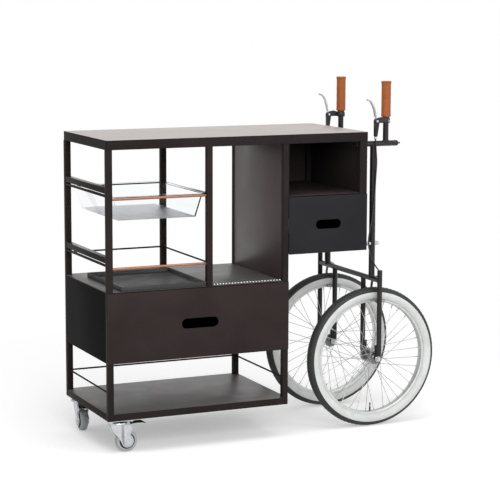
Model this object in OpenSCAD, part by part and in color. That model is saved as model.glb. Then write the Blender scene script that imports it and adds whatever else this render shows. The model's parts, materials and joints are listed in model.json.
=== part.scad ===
// Mobile bar unit: a tube-framed bar cart on two casters and two bicycle wheels.
// Sizes in millimetres. X runs along the cart, the wheels are on the +X end, -Y is the front.
// Lengths along X are measured from the left end of the frame, and place() centres the cart.

/* [Frame] */
// Height of the worktop above the floor
cart_h = 1056; // [1000:1:1120]
// Length of the lower cabinet
cab_l = 660; // [600:1:720]
// Depth of the frame
cab_d = 440; // [400:1:480]
// Length of the worktop
top_l = 965; // [930:1:980]
// Side of the square frame tube
tube = 20; // [16:1:24]
// Wall of the square frame tube
tube_wall = 1.5; // [1:0.1:2.5]
// Left face of the posts between the two open bays
mid_x = 357; // [320:1:400]
// Height of the apron ring and worktop together
apron_h = 32; // [26:1:40]
// Thickness of the worktop plate
top_t = 3; // [2:0.5:5]
// Corner radius of the worktop
top_r = 7; // [4:0.5:12]
// Thickness of the panel sheets
sheet_t = 2; // [1:0.5:3]

/* [Shelves] */
// Thickness of the deck and bottom shelf plates
shelf_t = 4; // [2:0.5:6]
// Height of the deck surface above the floor
deck_h = 553; // [520:1:580]
// Height of the guard rods above the bottom shelf
guard_h = 69; // [50:1:90]
// Diameter of the guard and gallery rods
rod_d = 6; // [4:0.5:8]

/* [Bottle bay] */
// Diameter of the copper rails
copper_d = 9; // [7:0.5:12]
// Height of the lower gallery above the deck
gallery_rise = 77; // [60:1:100]
// Depth of the upper gallery below the apron
gallery_drop = 163; // [140:1:190]
// Height of the end rails with the rods under them
end_rail_h = 33; // [25:1:40]
// Depth of the clear bottle tub below the gallery
tub_depth = 78; // [60:1:100]
// Inset of the tub floor from the posts
tub_inset = 30; // [15:1:45]
// Wall of the clear bottle tub
tub_wall = 3; // [2:0.5:5]
// Height of the bottle tray on the deck
tray_h = 16; // [10:1:30]
// Distance of the bottle tray from the left posts
tray_in = 30; // [5:1:60]
// Distance of the bottle tray from the deck's back edge
tray_back = 95; // [25:1:140]
// Width of the bright trim on the deck
trim_w = 6; // [4:0.5:10]

/* [Drawers] */
// Thickness of the overlay fronts
front_t = 3; // [2:0.5:6]
// Gap between a closed front and the posts
front_gap = 0.5; // [0.3:0.1:1]
// Height of the lower drawer front
low_front_h = 236; // [200:1:250]
// Height of the small drawer front
small_front_h = 198; // [160:1:210]
// Length of the lower finger slot
low_slot_l = 134; // [100:1:180]
// Height of the lower finger slot
low_slot_h = 35; // [25:1:45]
// Length of the small finger slot
small_slot_l = 97; // [70:1:130]
// Height of the small finger slot
small_slot_h = 32; // [25:1:40]
// Wall of the drawer boxes
box_wall = 2; // [1:0.5:4]
// Width of a slide channel
slide_w = 12.5; // [10:0.5:18]
// Height of a slide channel
slide_h = 45; // [35:1:55]

/* [Upper cabinet] */
// Height of the small drawer's lower edge above the floor
small_z = 643; // [610:1:670]
// Width of the right stiles
stile_w = 27; // [20:1:35]
// Thickness of the right wall
wall_t = 10; // [6:1:16]
// Overhang of the worktop past the right wall
overhang = 4; // [1:1:10]

/* [Bicycle wheels] */
// Diameter over the tyre
wheel_d = 500; // [480:1:510]
// Width of the tyre
tyre_w = 47; // [40:1:54]
// Thickness of the tyre casing
tyre_t = 3; // [2:0.5:5]
// Distance from the right wall to the wheel axle
axle_off = 48; // [40:1:70]
// How much closer together the two wheel planes are than the frame is deep
track_in = 95; // [60:1:120]
// Outer width of the rim
rim_w = 26; // [22:1:32]
// Depth of the rim section
rim_h = 10; // [8:1:14]
// Width of the hub between the drop-outs
hub_w = 100; // [90:1:120]
// Diameter of the axle
axle_d = 10; // [8:0.5:12]
// Number of spokes in a wheel
spoke_n = 36; // [28:4:36]
// Diameter of a spoke
spoke_d = 2; // [1.6:0.1:2.6]

/* [Fork and steering tubes] */
// Diameter of the cross bar and the fork legs
fork_d = 18; // [16:0.5:22]
// Thickness of the drop-out plates
dropout_t = 4; // [3:0.5:6]
// Gap between the tyre and the cross bar
fork_gap = 23; // [16:1:32]
// Rise of the outer legs above the cross bar
leg_rise = 28; // [10:1:40]
// Diameter of the steering tubes
stem_d = 22; // [20:0.5:26]
// Diameter of the handle tubes and uprights
handle_d = 20; // [18:0.5:24]
// Depth of the handle tube axis below the worktop
handle_drop = 46; // [44:1:60]
// Length of the handle tube beyond the steering tube
handle_l = 94; // [80:1:120]
// Distance from the steering tube to the upright
upright_off = 49; // [45:1:60]
// Height of the wall spacers above the small drawer's lower edge
spacer_rise = 14; // [10:1:30]

/* [Grips and levers] */
// Height of the grip's lower end above the handle tube axis
grip_rise = 94; // [88:1:110]
// Length of the grip
grip_l = 124; // [100:1:140]
// Diameter of the grip's waist
grip_d = 33; // [29:0.5:36]
// Diameter of the grip's flared upper end
grip_flare = 36; // [34.5:0.5:40]
// Offset of the lever plane from the upright's axis
lever_off = 14; // [13.5:0.5:18]
// Thickness of the lever's root
lever_t = 6; // [4:0.5:7]
// Width of the lever blade
blade_w = 11; // [8:0.5:14]
// Diameter of the brake cables
cable_d = 5; // [4:0.5:5.5]
// Gap between a brake pad and the rim
pad_gap = 2.2; // [1.5:0.1:3]
// Length of a brake pad
pad_l = 54; // [40:1:60]

/* [Casters] */
// Total height of a caster
caster_h = 118; // [112:1:130]
// Diameter of a caster wheel
caster_d = 75; // [65:1:78]
// Width of a caster wheel
caster_w = 26; // [20:1:30]
// Trail from the swivel axis to the wheel axle
trail = 29; // [20:1:36]
// Inset of the front swivel axis from the frame's end and front
caster_in = 51; // [48:1:60]
// Inset of the back swivel axis from the frame's end
back_in_x = 42; // [38:1:60]
// Inset of the back swivel axis from the frame's back
back_in_y = 27; // [27:1:60]
// Side of the caster plates
plate_w = 94; // [84:1:110]
// Turn of the front caster
turn_front = 0; // [-180:1:180]
// Turn of the back caster
turn_back = -95; // [-180:1:180]

/* [Hidden] */
$fn = 64;
eps = 0.01;
// radial clearance of every pin or shaft that turns in a bore
fit = 0.05;
// side clearance of pieces that slide or turn past each other
slack = 0.5;
// depth of a panel sheet behind the faces of the posts
inset = 1;

FRONT = -1;
BACK = 1;
charcoal = [0.17, 0.16, 0.17];
steel = [0.75, 0.76, 0.78];
light_grey = [0.72, 0.69, 0.67];
mid_grey = [0.55, 0.53, 0.51];
copper = [0.78, 0.52, 0.42];
terracotta = [0.69, 0.38, 0.24];
rubber = [0.19, 0.20, 0.20];

wall_x = top_l - overhang;
axle_x = wall_x + axle_off;
overall_l = axle_x + wheel_d / 2;
y_front = -cab_d / 2;
y_back = cab_d / 2;
base_z = caster_h;
shelf_z = base_z + tube;
under_top = cart_h - apron_h;
deck_under = deck_h - shelf_t;
right_post_x = cab_l - tube;
low_front_z = deck_under - low_front_h;

// drawers and their slides
slide_web = 2;
slide_lip = 5;
box_lift = 12;
box_drop = 12;
box_back_gap = 6;
low_slide_z = low_front_z + low_front_h / 2;
small_slide_z = small_z + small_front_h / 2;

// bottle bay
gallery_lo = deck_h + gallery_rise;
gallery_hi = under_top - gallery_drop;
rod_rise = (copper_d - rod_d) / 2;
end_rail_rise = 6;
end_rod_gap = 4;
tub_play = 4;
tray_play = 3;
tub_rim_z = gallery_hi + copper_d / 2;
tub_x0 = tube + tub_play;
tub_x1 = mid_x - tub_play;

// upper cabinet
stile_x = wall_x - stile_w;
side_x = right_post_x + inset + sheet_t;
small_top = small_z + small_front_h;

// bicycle wheels and fork
axle_z = wheel_d / 2;
tyre_r = tyre_w / 2;
tyre_c = axle_z - tyre_r;
rim_r = tyre_c - tyre_r + 6;
rim_in = rim_r - rim_h;
valve_l = 31;
wheel_y = (cab_d - track_in) / 2;
flange_r = 24;
flange_y = hub_w * 0.32;
flange_t = 3;
leg_sink = 2;
leg_y = hub_w / 2 + dropout_t + fork_d / 2 - leg_sink;
bar_z = wheel_d + fork_gap;
bar_top = bar_z + fork_d;
dropout_w = fork_d + 6;
dropout_h = 50;
nut_r = 8.5;
leg_z = axle_z + nut_r + 3;

// steering and handles
handle_z = cart_h - handle_drop;
upright_x = axle_x + upright_off;
grip_z = handle_z + grip_rise;
spacer_z = small_z + spacer_rise;
spacer_d = 15;
lever_y = wheel_y + lever_off;
clamp_z = grip_z - 22;
clamp_h = 15;
clamp_r = handle_d / 2 + 5;
pivot_x = upright_x - 44;
pivot_z = clamp_z + clamp_h / 2;
pivot_r = 2.5;
barrel_x = pivot_x - 4;
barrel_z = clamp_z - 46;

// brake calipers, measured from the pivot bolt in the middle of the cross bar
bolt_r = 3;
bolt_z = bar_z + fork_d / 2;
arm_t = 5;
arm_w = 9;
arm_x = axle_x + stem_d / 2 + slack;
arm_drop = 36;
arm_out = tyre_r + 12;
pad_t = 9;
pad_h = 8;
pad_tilt = 5;
pad_y = rim_w / 2 + pad_gap;
pad_r = rim_r - 10;

// casters
caster_r = caster_d / 2;
plate_t = 3;
plate_edge = 4;
cup_h = 8;
cup_r = 23;
kingpin_r = 6;
crown_z = caster_h - plate_t - cup_h - slack;
crown_t = 5;
crown_r = 34;
tongue_r = 22;
cheek_slope = [8, 27];
cheek_knee = [25, 49];
cheek_t = 3;
cheek_y = caster_w / 2 + 2;
caster_axle_r = 4;
pedal_x = 24;
pedal_z = crown_z - 13;
pedal_r = 6.5;
pedal_pin_r = 3;
pedal_reach = 95;

// Lever blade's route from its pivot, in its own plane.
blade_route = [[0, 0], [-5, 16], [-8, 32], [-12, 46], [-18, 60], [-26, 70], [-37, 75]];
blade_root = 18;
blade_reach = norm(blade_route[len(blade_route) - 1]);

// Brake cable route from the lever's barrel down to the caliper: X from the axle, distance outwards from the
// wheel plane, share of the height between the cross bar and the barrel.
cable_mid = [
    [4, 14, 0.922], [7, 14, 0.829], [4, 14, 0.716], [0.5, 14.2, 0.597], [-10, 14.5, 0.412], [-20, 14.5, 0.294],
    [-21, 14.8, 0.233], [-15, 15.5, 0.171], [-4, 16.5, 0.109], [9, 19.2, 0.066], [17.6, 21.4, 0.041]
];
// Its lower end, above the upper arm's barrel.
cable_end = [stem_d / 2 + 2 * slack + 1.5 * arm_t, 22, 8.5];

// Helpers

module place() translate([-overall_l / 2, 0, 0]) children();

// Everything with a front and a back copy is drawn for the front and mirrored for the back.
module handed(side) mirror([0, side == BACK ? 1 : 0, 0]) children();

module block(lo, hi) translate(lo) cube(hi - lo);

// Square tube between two corners, open at both ends along one axis.
module tube_bar(lo, hi, axis) {
    grow = [for (i = [0:2]) i == axis ? 1 : -tube_wall];
    difference() {
        block(lo, hi);
        block(lo - grow, hi + grow);
    }
}

module round_bar(p, q, d) {
    v = q - p;
    translate(p) rotate([0, acos(v.z / norm(v)), atan2(v.y, v.x)]) cylinder(d = d, h = norm(v));
}

// Upright slot outline with round ends, centred.
module oblong(l, h) {
    square([l - h, h], center = true);
    for (s = [-1, 1]) translate([s * (l - h) / 2, 0]) circle(d = h);
}

// Hole along Y through a drawer front, centred on x and z.
module slot_hole(x, z, l, h, y0, y1)
    translate([x, y1, z]) rotate([90, 0, 0]) linear_extrude(y1 - y0) oblong(l, h);

module rounded_sheet(l, d, r) {
    translate([r, 0]) square([l - 2 * r, d]);
    translate([0, r]) square([l, d - 2 * r]);
    for (x = [r, l - r], y = [r, d - r]) translate([x, y]) circle(r = r);
}

// Smooth points along a hand-chosen route.
function mix4(a, b, c, d, t) = 0.5 * (2 * b + (c - a) * t + (2 * a - 5 * b + 4 * c - d) * t * t
    + (3 * b - a - 3 * c + d) * t * t * t);
function smooth(p, steps) = let (n = len(p) - 1) concat(
    [for (i = [0:n - 1], k = [0:steps - 1])
        mix4(p[max(i - 1, 0)], p[i], p[i + 1], p[min(i + 2, n)], k / steps)],
    [p[n]]);
function heading(p, i) = let (v = p[min(i + 1, len(p) - 1)] - p[max(i - 1, 0)]) v / norm(v);

// Flat strip of a given width along a 2-D route.
module strip(route, w) {
    p = smooth(route, 5);
    side = [for (i = [0:len(p) - 1]) let (h = heading(p, i)) [-h.y, h.x] * w / 2];
    polygon(concat([for (i = [0:len(p) - 1]) p[i] - side[i]],
        [for (i = [len(p) - 1:-1:0]) p[i] + side[i]]));
    translate(p[len(p) - 1]) circle(d = w);
}

// Tube of eight sides swept along a route.
module swept_tube(route, d) {
    p = smooth(route, 4);
    n = 8;
    rings = [for (i = [0:len(p) - 1]) let (h = heading(p, i), u = cross(h, [0.2, 1, 0.1]), a = u / norm(u),
        b = cross(h, a)) [for (k = [0:n - 1]) p[i] + (a * cos(360 * k / n) + b * sin(360 * k / n)) * d / 2]];
    last = len(p) - 1;
    polyhedron(
        [for (r = rings) each r],
        concat(
            [[for (k = [0:n - 1]) k]],
            [for (i = [0:last - 1], k = [0:n - 1]) let (a = i * n + k, b = i * n + (k + 1) % n)
                each [[a, a + n, b], [b, a + n, b + n]]],
            [[for (k = [n - 1:-1:0]) last * n + k]]));
}

// Frame

module posts(y0) {
    for (x = [0, right_post_x]) tube_bar([x, y0, base_z], [x + tube, y0 + tube, under_top], 2);
    tube_bar([mid_x, y0, deck_h], [mid_x + tube, y0 + tube, under_top], 2);
}

module front_posts() color(charcoal) place() posts(y_front);

module back_posts() color(charcoal) place() posts(y_back - tube);

// Four bars between the corner posts. The end bars leave room for a skin over their outer faces.
module rail_ring(z, skin) {
    for (y = [y_front, y_back - tube])
        tube_bar([tube + fit, y, z], [right_post_x - fit, y + tube, z + tube], 0);
    for (x = [skin, right_post_x])
        tube_bar([x, y_front + tube, z], [x + tube - skin, y_back - tube, z + tube], 1);
}

module base_rails() color(charcoal) place() rail_ring(base_z, 0);

module deck_rails() color(charcoal) place() rail_ring(deck_under - tube, sheet_t);

// Plate over a rail ring, notched round the corner posts.
module notched_plate(z) difference() {
    block([0, y_front, z], [cab_l, y_back, z + shelf_t]);
    for (x = [-1, right_post_x], y = [y_front - 1, y_back - tube])
        translate([x, y, z - 1]) cube([tube + 1, tube + 1, shelf_t + 2]);
}

module shelf_plate() color(mid_grey) place() notched_plate(shelf_z);

module deck_plate() color(mid_grey) place() notched_plate(deck_under);

module guard_rods() color(charcoal) place() {
    z = shelf_z + shelf_t + guard_h;
    mid = tube / 2;
    round_bar([tube, y_back - mid, z], [right_post_x, y_back - mid, z], rod_d);
    for (x = [mid, cab_l - mid]) round_bar([x, y_front + tube, z], [x, y_back - tube, z], rod_d);
}

module apron() color(charcoal) place() translate([0, y_front, under_top]) difference() {
    linear_extrude(apron_h - top_t) rounded_sheet(top_l, cab_d, top_r);
    translate([tube, tube, -1]) cube([top_l - 2 * tube, cab_d - 2 * tube, apron_h]);
}

module worktop() color(light_grey) place()
    translate([0, y_front, cart_h - top_t]) linear_extrude(top_t) rounded_sheet(top_l, cab_d, top_r);

// Lower drawer housing

// Sheets between the posts at both ends, flush with them up to the deck, and at the back.
module housing_panels() color(charcoal) place() {
    for (x = [0, cab_l - sheet_t])
        block([x, y_front + tube, low_front_z], [x + sheet_t, y_back - tube, deck_under]);
    block([tube, y_back - inset - sheet_t, low_front_z], [right_post_x, y_back - inset, deck_under - tube]);
}

// Slide channel along Y against a face at x, open towards dir.
module slide_channel(x, dir, z) translate([x, 0, z]) mirror([dir < 0 ? 1 : 0, 0, 0]) difference() {
    block([0, y_front + inset, -slide_h / 2], [slide_w, y_back - inset - sheet_t, slide_h / 2]);
    block([slide_web, y_front, slide_lip - slide_h / 2], [slide_w + 1, y_back, slide_h / 2 - slide_lip]);
}

module slide_channels() color(steel) place() {
    slide_channel(tube, 1, low_slide_z);
    slide_channel(right_post_x, -1, low_slide_z);
    slide_channel(cab_l, 1, small_slide_z);
    slide_channel(stile_x, -1, small_slide_z);
}

// Overlay front between two ends, with a finger slot in its middle.
module drawer_front(x0, x1, z0, h, slot_l, slot_h) {
    y1 = y_front - front_gap;
    difference() {
        block([x0, y1 - front_t, z0], [x1, y1, z0 + h]);
        slot_hole((x0 + x1) / 2, z0 + h / 2, slot_l, slot_h, y1 - front_t - 1, y1 + 1);
    }
}

// Open box between two slide faces, with the sliding bars on its sides. Its slot lies behind the front's.
module drawer_box(x0, x1, z0, z1, slide_z, slot_x, slot_l, slot_h) {
    a = x0 + slide_w + slack;
    b = x1 - slide_w - slack;
    y0 = y_front - front_gap;
    y1 = y_back - tube - box_back_gap;
    bar_h = slide_h / 2 - slide_lip - slack;
    bar_w = slide_w - slide_web;
    difference() {
        block([a, y0, z0], [b, y1, z1]);
        block([a + box_wall, y0 + box_wall, z0 + box_wall], [b - box_wall, y1 - box_wall, z1 + 1]);
        slot_hole(slot_x, slide_z, slot_l, slot_h, y0 - 1, y0 + box_wall + 1);
    }
    for (x = [a - bar_w, b]) block([x, y0 + tube, slide_z - bar_h], [x + bar_w, y1, slide_z + bar_h]);
}

module low_drawer_front() color(charcoal) place()
    drawer_front(0, cab_l, low_front_z, low_front_h, low_slot_l, low_slot_h);

module low_drawer_box() color(charcoal) place()
    drawer_box(tube, right_post_x, low_front_z + box_lift, deck_under - tube - box_drop, low_slide_z,
        cab_l / 2, low_slot_l, low_slot_h);

module small_drawer_front() color(charcoal) place()
    drawer_front(cab_l, wall_x, small_z, small_front_h, small_slot_l, small_slot_h);

module small_drawer_box() color(charcoal) place()
    drawer_box(cab_l, stile_x, small_z + box_lift, small_top - box_drop, small_slide_z,
        (cab_l + wall_x) / 2, small_slot_l, small_slot_h);

// Bottle bay

module copper_rails() color(copper) place()
    for (z = [gallery_lo, gallery_hi])
        round_bar([tube, y_front + tube / 2, z], [mid_x, y_front + tube / 2, z], copper_d);

// Rods lie level with the top of the copper rails.
module gallery_rods() color(charcoal) place()
    for (z = [gallery_lo, gallery_hi]) {
        round_bar([tube, y_back - tube / 2, z + rod_rise], [mid_x, y_back - tube / 2, z + rod_rise], rod_d);
        round_bar([mid_x + tube / 2, y_front + tube, z + rod_rise],
            [mid_x + tube / 2, y_back - tube, z + rod_rise], rod_d);
    }

// Square rails between the left posts, each with a rod under its outer edge.
module end_rails() color(charcoal) place()
    for (z = [gallery_lo + end_rail_rise, gallery_hi + end_rail_rise]) {
        y0 = y_front + tube;
        y1 = y_back - tube;
        r = copper_d / 2;
        tube_bar([0, y0, z + copper_d + end_rod_gap], [tube, y1, z + end_rail_h], 1);
        round_bar([r, y0, z + r], [r, y1, z + r], copper_d);
    }

// Tapered block from the tub's floor up to its rim, shrunk by a wall all round.
module tub_body(shrink, lift) hull() {
    block([tube + tub_inset + shrink, y_front + tub_inset + shrink, tub_rim_z - tub_depth + shrink],
        [mid_x - tub_inset - shrink, y_back - tub_inset - shrink, tub_rim_z - tub_depth + shrink + eps]);
    block([tub_x0 + tub_play + shrink, y_front + tube + shrink, tub_rim_z + tub_wall + lift - eps],
        [tub_x1 - tub_play - shrink, y_back - tube - shrink, tub_rim_z + tub_wall + lift]);
}

// Clear tub that hangs by its rim on the copper rail and the rods.
module bottle_tub() color([0.8, 0.82, 0.84, 0.4]) place() difference() {
    union() {
        tub_body(0, 0);
        block([tub_x0, y_front + tub_play, tub_rim_z], [tub_x1, y_back - tub_play, tub_rim_z + tub_wall]);
        block([tub_x0, y_front + tube + tub_play, tub_rim_z],
            [mid_x + tube - tub_play, y_back - tube - tub_play, tub_rim_z + tub_wall]);
    }
    tub_body(tub_wall, 1);
}

module bottle_tray() color(charcoal) place() {
    lo = [tube + tray_in, y_front + tray_play, deck_h];
    hi = [mid_x - tray_play, y_back - tray_back, deck_h + tray_h];
    difference() {
        block(lo, hi);
        block(lo + [sheet_t, sheet_t, sheet_t], hi + [-sheet_t, -sheet_t, 1]);
    }
}

module deck_trim() color(steel) place()
    block([mid_x + tube + trim_w, y_front + trim_w, deck_h],
        [right_post_x - trim_w, y_front + 2 * trim_w, deck_h + trim_w]);

// Upper cabinet

module side_panel() color(charcoal) place()
    block([side_x - sheet_t, y_front + tube, deck_h], [side_x, y_back - tube, under_top]);

module right_stiles() color(charcoal) place()
    for (y = [y_front, y_back - tube]) tube_bar([stile_x, y, small_z], [wall_x, y + tube, under_top], 2);

module right_wall() color(charcoal) place()
    tube_bar([wall_x - wall_t, y_front + tube, small_z], [wall_x, y_back - tube, under_top], 2);

module cabinet_back() color(charcoal) place()
    block([cab_l, y_back - inset - sheet_t, small_z], [stile_x, y_back - inset, under_top]);

// Bottom sheet under the small drawer, and the open compartment's floor above it. Both reach the side
// panel and the right wall between the posts and stiles.
module cabinet_floors() color(charcoal) place()
    for (z = [small_z + sheet_t, small_top + sheet_t]) {
        block([cab_l, y_front + inset, z], [stile_x, y_back - inset - sheet_t, z + sheet_t]);
        block([side_x, y_front + tube, z], [wall_x - wall_t, y_back - tube, z + sheet_t]);
    }

// Wheel end

// Upright round tube, open at both ends.
module upright_tube(d, z0, z1) difference() {
    translate([0, 0, z0]) cylinder(d = d, h = z1 - z0);
    translate([0, 0, z0 - 1]) cylinder(d = d - 2 * tube_wall, h = z1 - z0 + 2);
}

// What a tube's end loses where it is shaped to the round of the cross bar.
module bar_cut(l) translate([axle_x, 0, bolt_z]) rotate([90, 0, 0])
    cylinder(r = fork_d / 2 + fit, h = l, center = true);

// Its ends are shaped to the round of the outer legs.
module cross_bar() color(charcoal) place() {
    reach = wheel_y + leg_y;
    difference() {
        translate([axle_x, reach, bolt_z]) rotate([90, 0, 0]) upright_tube(fork_d, 0, 2 * reach);
        for (y = [-reach, reach]) translate([axle_x, y, bar_z - 1])
            cylinder(r = fork_d / 2 + fit, h = fork_d + 2);
    }
}

// One leg with its drop-out plate, on the wheel's side dir. A leg that ends under the bar is shaped to it.
module fork_leg(dir, top) {
    y = -wheel_y + dir * leg_y;
    inner = -wheel_y + dir * (hub_w + dropout_t) / 2;
    difference() {
        translate([axle_x, y, 0]) upright_tube(fork_d, leg_z, top);
        if (top < bar_top) translate([0, y, 0]) bar_cut(2 * fork_d);
    }
    difference() {
        union() {
            translate([axle_x - dropout_w / 2, inner - dropout_t / 2, axle_z])
                cube([dropout_w, dropout_t, dropout_h]);
            translate([axle_x, inner, axle_z]) rotate([90, 0, 0])
                cylinder(d = dropout_w, h = dropout_t, center = true);
        }
        translate([axle_x, inner, axle_z]) rotate([90, 0, 0])
            cylinder(r = axle_d / 2 + fit, h = dropout_t + 2, center = true);
    }
}

// The outer leg rises past the cross bar and has a cap. The inner one ends under the bar.
module fork_legs(side) color(charcoal) place() handed(side) {
    top = bar_top + leg_rise - sheet_t;
    fork_leg(-1, top);
    translate([axle_x, -wheel_y - leg_y, top]) cylinder(d = fork_d, h = sheet_t);
    fork_leg(1, bolt_z);
}

module fork_legs_front() fork_legs(FRONT);

module fork_legs_back() fork_legs(BACK);

// Steering tube, handle tube with its end bolt, and upright, welded together.
module stem(side) color(charcoal) place() handed(side) translate([0, -wheel_y, 0]) {
    end_x = axle_x + handle_l;
    foot = bolt_z + bolt_r + slack;
    difference() {
        translate([axle_x, 0, foot]) cylinder(d = stem_d, h = handle_z - foot);
        translate([axle_x, 0, foot - 1]) cylinder(d = stem_d - 2 * tube_wall, h = handle_z - foot - handle_d);
        bar_cut(2 * stem_d);
    }
    round_bar([wall_x, 0, handle_z], [end_x, 0, handle_z], handle_d);
    translate([end_x, 0, handle_z]) rotate([0, 90, 0]) cylinder(d1 = handle_d, d2 = 8, h = 4);
    round_bar([end_x + 3, 0, handle_z], [end_x + 12, 0, handle_z], 6);
    translate([upright_x, 0, handle_z]) cylinder(d = handle_d, h = grip_rise + grip_l - 6);
}

module stem_front() stem(FRONT);

module stem_back() stem(BACK);

// Spacer and dome nut of the lower bolt, and the handle tube's nut inside the cabinet.
module spacer_set() translate([0, -wheel_y, 0]) {
    difference() {
        union() {
            round_bar([wall_x, 0, spacer_z], [axle_x, 0, spacer_z], spacer_d);
            translate([axle_x, 0, spacer_z]) rotate([0, 90, 0]) cylinder(d = 17, h = stem_d / 2 + 8, $fn = 6);
        }
        translate([axle_x, 0, spacer_z - spacer_d]) cylinder(d = stem_d, h = 2 * spacer_d);
    }
    translate([axle_x + stem_d / 2 + 8, 0, spacer_z]) rotate([0, 90, 0]) cylinder(d = 12, h = 4);
    translate([axle_x + stem_d / 2 + 12, 0, spacer_z]) sphere(d = 12);
    translate([wall_x - wall_t - 9, 0, handle_z]) rotate([0, 90, 0]) cylinder(d = 15, h = 9, $fn = 6);
}

module wall_spacers() color(steel) place() for (side = [FRONT, BACK]) handed(side) spacer_set();

// Wheel axles with their nuts, and the brakes' pivot bolts with theirs.
module axles() color(steel) place() for (side = [FRONT, BACK]) handed(side) translate([0, -wheel_y, 0]) {
    nut_y = hub_w / 2 + dropout_t;
    nut_t = 9;
    round_bar([axle_x, -nut_y - nut_t - 5, axle_z], [axle_x, nut_y + nut_t + 5, axle_z], axle_d);
    for (s = [-1, 1]) translate([axle_x, s * (nut_y + nut_t / 2), axle_z]) rotate([90, 0, 0])
        cylinder(r = nut_r, h = nut_t, center = true, $fn = 6);
    nut_x = arm_x + 2 * arm_t + 2 * slack;
    round_bar([axle_x + fork_d / 2, 0, bolt_z], [nut_x, 0, bolt_z], 2 * bolt_r);
    translate([nut_x, 0, bolt_z]) rotate([0, 90, 0]) cylinder(r = 6, h = 6, $fn = 6);
}

// Grips and brake levers

module grip(side) color(terracotta) place() handed(side) translate([upright_x, -wheel_y, grip_z])
    rotate_extrude() {
        bore = handle_d / 2 + fit;
        flare = grip_flare / 2;
        waist = grip_d / 2;
        foot = waist + 0.7;
        polygon([
            [bore, 0], [foot - 1, 0], [foot, 1], [foot, 4], [waist, 10],
            [waist, grip_l - 10], [flare, grip_l - 4], [flare, grip_l - 1], [flare - 1, grip_l],
            [0, grip_l], [0, grip_l - 6 + fit], [bore, grip_l - 6 + fit]
        ]);
    }

module grip_front() grip(FRONT);

module grip_back() grip(BACK);

// Clamp ring on the upright, with the lever's clevis, housing and barrel.
module lever_clamp(side) color(charcoal) place() handed(side) {
    cheek = 3;
    y_out = -lever_y - lever_t / 2 - 0.2 - cheek;
    y_in = -lever_y + lever_t / 2 + 0.2 + cheek;
    difference() {
        union() {
            translate([upright_x, -wheel_y, clamp_z]) cylinder(r = clamp_r, h = clamp_h);
            block([pivot_x, y_out, clamp_z + 1], [upright_x, y_in, clamp_z + clamp_h - 1]);
            translate([0, y_in, 0]) rotate([90, 0, 0]) linear_extrude(y_in - y_out) {
                translate([pivot_x, pivot_z]) circle(r = 9);
                polygon([
                    [barrel_x - 4, barrel_z], [barrel_x + 5, barrel_z],
                    [pivot_x + 9, pivot_z], [pivot_x - 9, pivot_z]
                ]);
                polygon([
                    [pivot_x, pivot_z], [upright_x - 4, pivot_z], [upright_x - 4, pivot_z + 6],
                    [upright_x - 14, pivot_z + 11], [pivot_x + 20, pivot_z + 14],
                    [pivot_x + 8, pivot_z + 12], [pivot_x, pivot_z + 8]
                ]);
            }
            translate([barrel_x, -lever_y, barrel_z - 8]) cylinder(r = 3.5, h = 10);
        }
        translate([upright_x, -wheel_y, clamp_z - 1]) cylinder(r = handle_d / 2 + fit, h = clamp_h + 2);
        block([pivot_x - 20, -lever_y - lever_t / 2 - 0.2, pivot_z - 8],
            [pivot_x + 9.5, -lever_y + lever_t / 2 + 0.2, pivot_z + 20]);
    }
    round_bar([pivot_x, y_out, pivot_z], [pivot_x, y_in, pivot_z], 2 * pivot_r);
}

module lever_clamp_front() lever_clamp(FRONT);

module lever_clamp_back() lever_clamp(BACK);

// Lever blade that runs up beside the grip and curls away at its tip.
module lever(side) color(steel) place() handed(side) translate([pivot_x, -lever_y, pivot_z]) rotate([90, 0, 0]) {
    difference() {
        union() {
            linear_extrude(lever_t, center = true) {
                circle(r = 6.5);
                strip(blade_route, 6);
            }
            linear_extrude(blade_w, center = true) intersection() {
                strip(blade_route, 6);
                translate([-blade_reach, blade_root]) square(2 * blade_reach);
            }
        }
        cylinder(r = pivot_r + fit, h = blade_w + 2, center = true);
    }
}

module lever_front() lever(FRONT);

module lever_back() lever(BACK);

module brake_cable(side) color([0.12, 0.12, 0.12]) place() handed(side) {
    first = [barrel_x, -lever_y, barrel_z - 8];
    last = [axle_x + cable_end.x, -wheel_y - cable_end.y, bar_top + cable_end.z];
    mid = [for (p = cable_mid) [axle_x + p.x, -wheel_y - p.y, bar_top + p.z * (first.z - bar_top)]];
    swept_tube(concat([first], mid, [last]), cable_d);
}

module cable_front() brake_cable(FRONT);

module cable_back() brake_cable(BACK);

// Caliper arm on its own layer along X, reaching round the tyre on the side dir. The upper arm ends in the
// cable's barrel.
module caliper_arm(dir, layer, barrel) translate([0, -wheel_y, 0]) {
    x = arm_x + layer * (arm_t + slack);
    drop = bolt_z - axle_z - pad_r;
    difference() {
        translate([x, 0, bolt_z]) rotate([90, 0, 90]) linear_extrude(arm_t) {
            circle(r = 8);
            strip([
                [0, 0], [dir * 16, -3], [dir * (arm_out - 6), -16], [dir * arm_out, -arm_drop],
                [dir * (arm_out - 2), 22 - drop], [dir * (pad_y + pad_t + 2), pad_h / 2 - drop]
            ], arm_w);
            if (barrel) strip([[0, 0], [-12, 5], [-cable_end.y, 8]], 6);
        }
        translate([x - 1, 0, bolt_z]) rotate([0, 90, 0]) cylinder(r = bolt_r + fit, h = arm_t + 2);
    }
    translate([axle_x, 0, axle_z]) rotate([0, pad_tilt, 0])
        translate([-pad_l / 2, dir > 0 ? pad_y : -pad_y - pad_t, pad_r]) cube([pad_l, pad_t, pad_h]);
    if (barrel) translate([x + arm_t / 2, -cable_end.y, bolt_z + 4]) cylinder(r = 3.5, h = 12);
}

module caliper(side, dir, layer, barrel) color(charcoal) place() handed(side) caliper_arm(dir, layer, barrel);

module arm_front_out() caliper(FRONT, -1, 0, false);

module arm_front_in() caliper(FRONT, 1, 1, true);

module arm_back_out() caliper(BACK, -1, 0, false);

module arm_back_in() caliper(BACK, 1, 1, true);

// Bicycle wheels

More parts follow.
